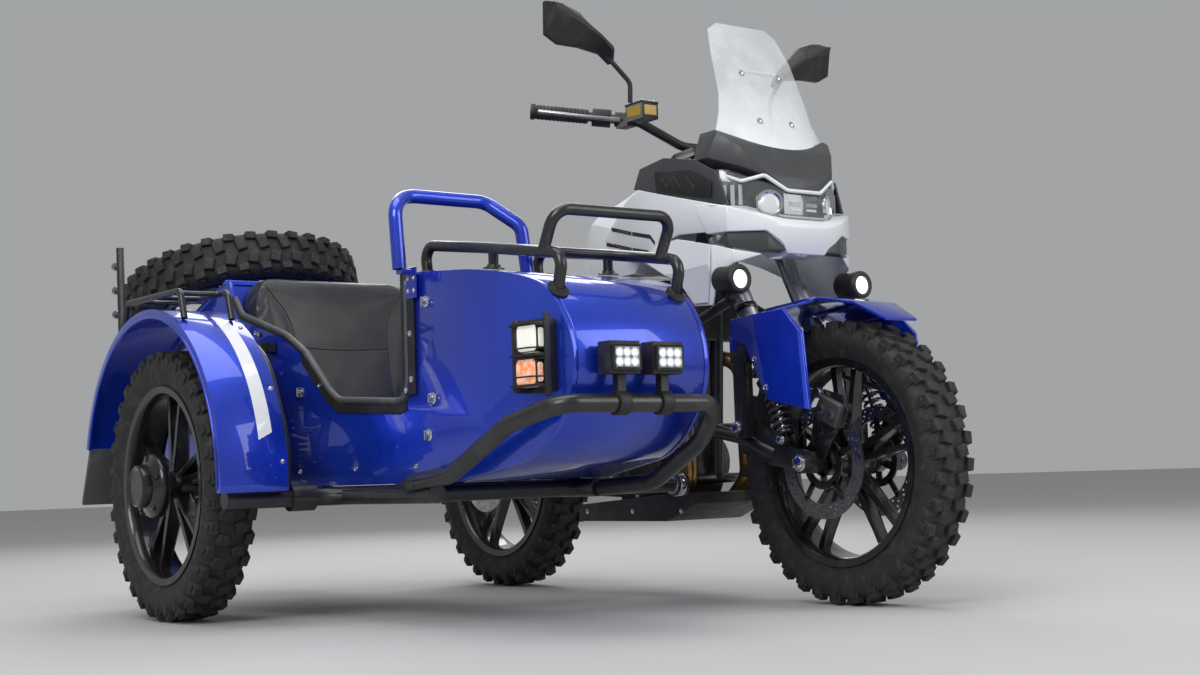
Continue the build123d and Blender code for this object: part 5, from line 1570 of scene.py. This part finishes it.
def makeChain():
    line = chainLine()
    total = sum((b - a).length for a, b in zip(line, line[1:] + line[:1]))
    count = 2 * round(total / chain["pitch"] / 2)
    places = evenlyAlong(line, count)
    models = []
    for spread in (chain["inner"], chain["outer"]):
        roller = roundBar("roller", (-0.008, -spread, 0), (-0.008, spread, 0), chain["roller"], 10, 0)
        models.append(join("link", [chainPlate(-spread), chainPlate(spread), roller]))
    links = []
    for index, spot in enumerate(places):
        ahead = places[(index + 1) % count]
        run = ahead - spot
        middle = (spot + ahead) / 2
        turn = Matrix.Rotation(-atan2(run.y, run.x), 4, "Y")
        place = Matrix.Translation(at(middle.x, chain["y"], middle.y)) @ turn
        links.append(duplicate(models[index % 2], "link", place))
    for model in models:
        bpy.data.objects.remove(model)
    loop = smooth(join("drive_chain_links", links), 30)
    finished(loop, "chassis", "chainSteel", ("drive_chain",))


makeChain()


# Engine covers, radiator fins and belly bolts

engine = {
    "covers": [(665, 350, -122, 0.077, 8, 8.4), (800, 345, 120, 0.060, 6, 0.4)],
    "dish": [(0, 0.046), (0.003, 0.044), (0.0045, 0.038), (0.0030, 0.030), (0.0030, 0.014), (0.0055, 0.012),
             (0.0055, 0)],
    "caseBolts": [(600, 290), (600, 420), (860, 280), (860, 400), (740, 262)], "caseY": (-92.2, 86.2),
    "bellyBolts": [(560, 222), (760, 222), (960, 222)], "bellyY": (-125.2, 125.2),
    "radiatorX": 941, "finLow": 662, "finHigh": 794, "finStep": 4, "finSize": (0.006, 0.236, 0.0012),
}


def makeEngineDetails():
    spots, middles = [], []
    for x, z, y, radius, count, rise in engine["covers"]:
        side = 1 if y > 0 else -1
        for index in range(count):
            angle = 2 * pi * index / count
            spot = at(x, y, z) + Vector((radius * cos(angle), side * 0.0002, radius * sin(angle)))
            spots.append((spot, (0, side, 0)))
        middles.append((at(x, y + side * rise, z), (0, side, 0)))
    for places, levels in (("caseBolts", "caseY"), ("bellyBolts", "bellyY")):
        for x, z in engine[places]:
            spots += [(at(x, y, z), (0, -1 if y < 0 else 1, 0)) for y in engine[levels]]
    bolted("engine_bolts", spots, "chassis", "chrome", 0.0048)
    covers = [turnedOn(spot, normal, "cover", engine["dish"], 48, 40) for spot, normal in middles]
    finished(join("engine_cover_rings", covers), "chassis", "coverMetal")
    fin = block("fin", at(engine["radiatorX"], 0, engine["finLow"]), engine["finSize"], 0)
    count = int((engine["finHigh"] - engine["finLow"]) / engine["finStep"])
    applyModifier(fin, "ARRAY", count=count, use_relative_offset=False, use_constant_offset=True,
                  constant_offset_displace=(0, 0, engine["finStep"] / 1000))
    fin.name = "radiator_fins"
    finished(fin, "chassis", "castMetal")


makeEngineDetails()
print("engine details made")


# Fastenings of the sidecar: hoop feet, rack feet, post knobs, lid knuckles, latches and chassis bolts

fastenings = {
    "knobs": (-484, -1030, (830, 900, 970)),
    "knob": [(-0.004, 0.006), (-0.003, 0.0105), (0.002, 0.0125), (0.007, 0.0118), (0.010, 0.007),
             (0.0105, 0)],
    "hinge": (123.8, -705, 850.6), "knuckles": (-170, 0, 170), "barrel": (24, 11, 0.0155),
    "latches": (-870, -540), "latchX": -461, "latchZ": 640,
    "hoopFoot": (1010, -917, 762), "footSize": (0.040, 0.005, 0.070),
    "gusset": (1010, -931, 786), "gussetSize": (0.028, 0.034, 0.010),
    "hoopBolts": ((-11, 11), (744, 772), 8.6),
    "rackFeet": [(965, 790), (1240, 769), (1478, 700)], "rackRows": (-846, -538),
    "flange": [(0, 0.0115), (0, 0.024), (0.003, 0.0235), (0.0045, 0.0165), (0.010, 0.0135), (0.010, 0.0115),
               (0, 0.0115)],
}


def makeFastenings():
    x, y, heights = fastenings["knobs"]
    knobs = [turnedOn(at(x, y, z), (-1, 0, 0), "knob", fastenings["knob"], 24, 40) for z in heights]
    finished(join("rear_post_knobs", knobs), "chassis", "brushedSteel")
    hx, hy, hz = fastenings["hinge"]
    pitch, half, across = fastenings["barrel"]
    outer, inner = [], []
    for offset in fastenings["knuckles"]:
        for share in (-1, 0, 1):
            middle = hy + offset + share * pitch
            ends = [at(hx, y, hz) for y in (middle - half, middle + half)]
            barrel = roundBar("knuckle", *ends, across, 24, 0.001)
            (outer if share else inner).append(barrel)
    finished(join("boot_hinge_knuckles", outer), "chassis", "chrome")
    finished(join("boot_lid_knuckles", inner), "boot_lid", "chrome")
    hasps, catches = [], []
    x, z = fastenings["latchX"], fastenings["latchZ"]
    for y in fastenings["latches"]:
        hasps.append(block("hasp", at(x - 5, y, z + 24), (0.006, 0.034, 0.040), 0.002))
        hasps.append(roundBar("pull", at(x - 9, y - 13, z + 8), at(x - 9, y + 13, z + 8), 0.006, 12, 0.001))
        catches.append(block("catch", at(x - 1, y, z - 18), (0.010, 0.030, 0.030), 0.002))
    finished(join("boot_latch_hasps", hasps), "boot_lid", "chrome")
    finished(join("boot_latch_catches", catches), "chassis", "chrome")
    place = Matrix.Translation(at(*fastenings["hoopFoot"])) @ Matrix.Rotation(outerLean, 4, "Z")
    foot = block("foot", (0, 0, 0), fastenings["footSize"], 0.002)
    foot.data.transform(place)
    gusset = block("gusset", at(*fastenings["gusset"]), fastenings["gussetSize"], 0.002)
    finished(join("grab_hoop_feet", [foot, gusset]), "chassis", "blueTube")
    x = fastenings["hoopFoot"][0]
    columns, rows, proud = fastenings["hoopBolts"]
    spots = [(panelPoint(x + column, z, proud), panelNormal(x)) for column in columns for z in rows]
    bolted("grab_hoop_bolts", spots, "chassis", "chrome", 0.004)
    feet = []
    for x, z in fastenings["rackFeet"]:
        # The foremost pair stands on the sloping nose
        lean = (0.12, 0, 1) if x < 1400 else (0.75, 0, 0.7)
        for y in fastenings["rackRows"]:
            feet.append(turnedOn(at(x, y, z), lean, "flange", fastenings["flange"], 32, 40))
    finished(join("nose_rack_flanges", feet), "chassis", "blackTube")


makeFastenings()
print("fastenings made")


# Hand controls: grip ribs, levers' pivots, the fluid window and its lid

controls = {
    "grip": ((798, 420, 1240), (955, 215, 1206)), "ribs": 13, "ribShare": (0.04, 0.49), "ribAcross": 0.0374,
    "reservoir": (1002, -237, 1216), "lid": (0.072, 0.053, 0.006), "lidBolts": (27, 18),
    "clampBolts": [(949, 246, 1222), (957, 236, 1222.4)],
}


def makeControls():
    ribs = []
    for side in (-1, 1):
        start, end = [at(x, side * y, z) for x, y, z in controls["grip"]]
        low, high = controls["ribShare"]
        for index in range(controls["ribs"]):
            share = low + (high - low) * index / (controls["ribs"] - 1)
            middle = start.lerp(end, share)
            half = (end - start).normalized() * 0.0035
            ribs.append(roundBar("rib", middle - half, middle + half, controls["ribAcross"], 28, 0.001))
    finished(join("grip_ribs", ribs), "steering", "blackPlastic")
    x, y, z = controls["reservoir"]
    lid = block("lid", at(x, y, z + 22), controls["lid"], 0.002)
    finished(join("reservoir_lid", [lid]), "steering", "blackAlloy")
    windows = [block("window", at(x, y - 25.5, z + 1), (0.052, 0.004, 0.026), 0.0015),
               block("window", at(x + 34.5, y, z + 1), (0.004, 0.038, 0.026), 0.0015)]
    finished(join("reservoir_window", windows), "steering", "goldFluid")
    wide, deep = controls["lidBolts"]
    places = [at(x + dx, y + dy, z + 25) for dx in (-wide, wide) for dy in (-deep, deep)]
    for side in (-1, 1):
        places += [at(x, side * y, z) for x, y, z in controls["clampBolts"]]
    spots = [(place, (0, 0, 1)) for place in places]
    bolted("control_bolts", spots, "steering", "chrome", 0.0036)


makeControls()
print("controls made")


# Second materials split off single CAD solids: mud flap, lever blades

def offLine(spot, start, end):
    run = end - start
    share = min(1.0, max(0.0, (spot - start).dot(run) / run.length_squared))
    return (spot - start - run * share).length


def splitOff(node, name, test, body, finish):
    source = dressed[node]
    before = set(bpy.data.objects)
    editFaces(source, test)
    bpy.ops.mesh.separate(type="SELECTED")
    leaveEdit()
    part = (set(bpy.data.objects) - before).pop()
    part.name = name
    finished(unmarked(part), body, finish, (node,))


lever = {"line": [(950, 266, 1206), (900, 338, 1216), (836, 436, 1232)], "reach": 0.0068}
flap = {"front": -70, "top": 430}


def onLever(centre, normal):
    for side in (-1, 1):
        points = [at(x, side * y, z) for x, y, z in lever["line"]]
        if min(offLine(centre, *pair) for pair in zip(points, points[1:])) < lever["reach"]:
            return True
    return False


def onFlap(centre, normal):
    corner = at(flap["front"], 0, flap["top"])
    return centre.x < corner.x and centre.z < corner.z


splitOff("hand_controls", "control_levers", onLever, "steering", "brushedSteel")
splitOff("sidecar_mudguard", "mudguard_flap", onFlap, "chassis", "greyRubber")


# Brake anchors over the front discs, axle nuts, link bolts and the bright coupling

anchor = {
    "turn": 24, "middle": 113, "thick": 7,
    "plate": [(-26, 20), (26, 20), (40, 92), (58, 150), (30, 176), (-34, 168), (-44, 110)],
    "caliper": (0.074, 0.034, 0.058), "caliperAt": (10, 128), "caliperY": 0.1145, "bridgeY": 0.101,
    "bridgeZ": 0.1475, "piston": 0.027, "pistonY": 0.1305, "pistons": (-17, 17),
    "rod": ((1262, 126, 548), (1472, 126, 489)), "rodAcross": 0.013, "pinY": 154,
    "nuts": [(1441, 164.5, 330, 0.034), (1260, 190.5, 420, 0.026), (1392, 172.5, 386, 0.020)],
    "coupling": (1050, -206, 291),
    "cups": [("cup", -17, -20, 0.050, 40, 0.001), ("collar", -12, 6, 0.0605, 40, 0.002),
             ("bolt", -19, -30, 0.026, 6, 0.0015)],
}


def sideBar(name, spot, side, near, far, across, sides, bevel):
    # A bar square to the machine's middle plane, its ends measured outwards from a spot
    start, end = [spot + Vector((0, side * reach, 0)) for reach in (near, far)]
    return roundBar(name, start, end, across, sides, bevel)


def makeAnchors():
    plates, calipers, pistons, rods, nuts = [], [], [], [], []
    here = Matrix.Translation(wheelMiddles["front"]) @ Matrix.Rotation(radians(anchor["turn"]), 4, "Y")
    middleX, middleZ = [value / 1000 for value in anchor["caliperAt"]]
    wide, deep, high = anchor["caliper"]
    for side in (-1, 1):
        level = (side * anchor["middle"] - anchor["thick"] / 2) / 1000
        points = [(x / 1000, level, z / 1000) for x, z in anchor["plate"]]
        plate = slab("anchor", points, (0, anchor["thick"] / 1000, 0), 0.0015)
        plate.data.transform(here)
        plates.append(plate)
        spot = (middleX, side * anchor["caliperY"], middleZ + 0.002)
        body = block("caliper", spot, (wide, deep, high), 0.006, 3)
        spot = (middleX, side * anchor["bridgeY"], anchor["bridgeZ"])
        bridge = block("caliper", spot, (wide * 0.8, 0.044, 0.016), 0.004, 2)
        for piece in (body, bridge):
            piece.data.transform(here)
            calipers.append(piece)
        for shift in anchor["pistons"]:
            spot = here @ Vector((middleX + shift / 1000, side * anchor["pistonY"], middleZ))
            across = anchor["piston"]
            calipers.append(sideBar("cap", spot, side, 0, 0.005, across, 28, 0.0015))
            pistons.append(sideBar("pistonCap", spot, side, 0, 0.0062, across * 0.62, 24, 0.001))
        start, end = [at(x, side * y, z) for x, y, z in anchor["rod"]]
        rods.append(roundBar("torque", start, end, anchor["rodAcross"], 20, 0.001))
        for spot in (start, end):
            rods.append(sideBar("rodEnd", spot, 1, -0.008, 0.008, 0.025, 24, 0.002))
        reach = (anchor["pinY"] - anchor["rod"][0][1]) / 1000
        rods.append(sideBar("pin", start, side, 0, reach, 0.010, 16, 0.0008))
        for x, y, z, across in anchor["nuts"]:
            spot = at(x, side * y, z)
            nuts.append(sideBar("nut", spot, side, 0, 0.009, across, 6, 0.0015))
            nuts.append(sideBar("washer", spot, side, -0.002, 0.0015, across * 1.15, 28, 0.0005))
    finished(join("brake_anchor_plates", plates), "steering", "blackAlloy")
    finished(smooth(join("brake_anchor_calipers", calipers), 35), "steering", "castMetal")
    finished(join("caliper_piston_caps", pistons), "steering", "brushedSteel")
    finished(join("brake_torque_rods", rods), "steering", "brushedSteel")
    finished(join("fork_link_nuts", nuts), "steering", "chrome")
    x, y, z = anchor["coupling"]
    rings = [roundBar(name, at(x, y + near, z), at(x, y + far, z), across, sides, bevel)
             for name, near, far, across, sides, bevel in anchor["cups"]]
    finished(join("coupling_cup", rings), "chassis", "chrome")


makeAnchors()


# A black band under the rim of the cut-out

rimBand = {
    "line": [(556, 642), (662, 540), (700, 517), (940, 501), (966, 508)], "drop": 30, "thick": 0.003,
}


def bandOutline(line, drop):
    # The line and its copy moved square to itself, down and forward
    low = []
    for index, (x, z) in enumerate(line):
        before, after = line[max(0, index - 1)], line[min(len(line) - 1, index + 1)]
        run = Vector((after[0] - before[0], after[1] - before[1])).normalized()
        low.append((x + run.y * drop, z - run.x * drop))
    return line + low[::-1]


def makeRimBands():
    bands = []
    for side in ("outer", "inner"):
        outline = bandOutline(rimBand["line"], rimBand["drop"])
        points = [panelPoint(x, z, 0.4, side) for x, z in outline]
        push = panelNormal(700, side) * rimBand["thick"]
        bands.append(slab("band", points, push, 0.0008))
    finished(join("cockpit_rim_bands", bands), "chassis", "blackPlastic")


makeRimBands()
print("anchors and bands made")


# Tank: filler cap with its ring of screws

filler = {
    "x": 800, "reach": 30, "screwCircle": 0.0365, "screws": 6,
    "ring": [(-0.004, 0.040), (0.002, 0.041), (0.0045, 0.039), (0.005, 0.034), (0.0035, 0.0325),
             (0.0035, 0.029), (0.0075, 0.028), (0.0082, 0.024), (0.0070, 0.010), (0.0070, 0)],
}


def makeFiller():
    # The cap lies along the tank's slope, taken from a point before it and one behind
    tank, down = dressed["fuel_tank"], Vector((0, 0, -1))
    behind, top, ahead = [onSurface(tank, at(filler["x"] + shift, 0, 1400), down, 0.0002)
                          for shift in (-filler["reach"], 0, filler["reach"])]
    run = ahead - behind
    place = standOn(top, Vector((-run.z, 0, run.x)))
    cap = axisToZ(lathe("filler", filler["ring"], 56, 40))
    cap.data.transform(place)
    finished(join("tank_filler_cap", [cap]), "chassis", "brushedSteel")
    screws = []
    radius = filler["screwCircle"]
    for index in range(filler["screws"]):
        turn = 2 * pi * index / filler["screws"]
        low, high = [place @ Vector((radius * cos(turn), radius * sin(turn), z)) for z in (0.0035, 0.0062)]
        screws.append(roundBar("screw", low, high, 0.0048, 6, 0.0004))
    finished(join("tank_filler_screws", screws), "chassis", "blackAlloy")


makeFiller()


# Black brackets drawn on the tank's flanks, and the bolts of the front mudguard's cheeks

strokes = {
    "lines": [[(772, 1017), (1030, 965)], [(745, 986), (760, 964), (985, 913), (1005, 893)],
              [(712, 932), (975, 875)]],
    "height": 0.010, "cuts": 14, "start": 300, "cheekBolts": [(1340, 574), (1378, 506)],
}


def makeStrokes():
    flank = join("flank", [duplicate(dressed[node], "flank") for node in ("fuel_tank", "side_shrouds")])
    drawn = []
    for side in (-1, 1):
        for line in strokes["lines"]:
            stroke = outlineMesh("stroke", [at(x, side * strokes["start"], z) for x, z in line], False)
            editAll(stroke, "EDGE")
            bpy.ops.mesh.extrude_region_move(TRANSFORM_OT_translate={"value": (0, 0, -strokes["height"])})
            bpy.ops.mesh.select_all(action="SELECT")
            bpy.ops.mesh.subdivide(number_cuts=strokes["cuts"])
            leaveEdit()
            applyModifier(stroke, "SHRINKWRAP", target=flank, wrap_method="PROJECT", use_project_y=True,
                          use_negative_direction=True, use_positive_direction=True, offset=0.0005)
            applyModifier(stroke, "SOLIDIFY", thickness=0.0006, offset=0.0)
            drawn.append(stroke)
    bpy.data.objects.remove(flank)
    finished(smooth(outward(join("tank_strokes", drawn)), 30), "chassis", "blackPlastic")
    spots = []
    cheeks = bpy.data.objects["front_mudguard_cheeks"]
    for side in (-1, 1):
        for x, z in strokes["cheekBolts"]:
            place = onSurface(cheeks, at(x, side * strokes["start"], z), Vector((0, -side, 0)))
            spots.append((place, (0, side, 0)))
    bolted("front_mudguard_bolts", spots, "steering", "chrome", 0.0065)


makeStrokes()


# Floor, light and camera

studio = {
    "floor": rgb(0.5, 0.5, 0.495), "sky": rgb(0.86, 0.88, 0.9), "skyStrength": 0.42,
    "lights": [
        ("key", (3.4, -4.6, 4.4), 3.2, 205.0), ("fill", (4.8, 2.4, 2.6), 3.0, 90.0),
        ("back", (-4.0, 2.4, 3.8), 3.0, 100.0), ("top", (0.2, -0.6, 5.4), 4.0, 125.0),
    ],
}


def makeStudio():
    deselect()
    bpy.ops.mesh.primitive_plane_add(size=60, location=(0, 0, 0))
    floor = bpy.context.object
    floor.name = "floor"
    made = Finish("studioFloor")
    made.set(colour=studio["floor"], roughness=0.75)
    floor.data.materials.append(made.material)
    world = bpy.data.worlds.new("studio")
    bpy.context.scene.world = world
    world.use_nodes = True
    background = world.node_tree.nodes["Background"]
    background.inputs["Color"].default_value = studio["sky"]
    background.inputs["Strength"].default_value = studio["skyStrength"]
    for name, place, size, power in studio["lights"]:
        deselect()
        bpy.ops.object.light_add(type="AREA", location=place)
        lamp = bpy.context.object
        lamp.name = name
        lamp.data.size = size
        lamp.data.energy = power
        lamp.rotation_mode = "QUATERNION"
        lamp.rotation_quaternion = (Vector((0, 0, 0.6)) - Vector(place)).to_track_quat("-Z", "Y")


cameraFacts = {
    "place": (3.689, -2.435, 0.322), "yaw": 53.45, "pitch": 4.55, "roll": -1.99, "lens": 51.33,
    "sensor": 36.0,
}


def makeCamera():
    deselect()
    bpy.ops.object.camera_add(location=cameraFacts["place"])
    camera = bpy.context.object
    turn = (Matrix.Rotation(radians(cameraFacts["yaw"]), 4, "Z")
            @ Matrix.Rotation(radians(90 + cameraFacts["pitch"]), 4, "X")
            @ Matrix.Rotation(radians(cameraFacts["roll"]), 4, "Z"))
    camera.rotation_mode = "QUATERNION"
    camera.rotation_quaternion = turn.to_quaternion()
    camera.data.lens = cameraFacts["lens"]
    camera.data.sensor_width = cameraFacts["sensor"]
    camera.data.sensor_fit = "HORIZONTAL"
    bpy.context.scene.camera = camera


makeStudio()
makeCamera()
bpy.context.scene.view_settings.view_transform = "Standard"
print("studio made")
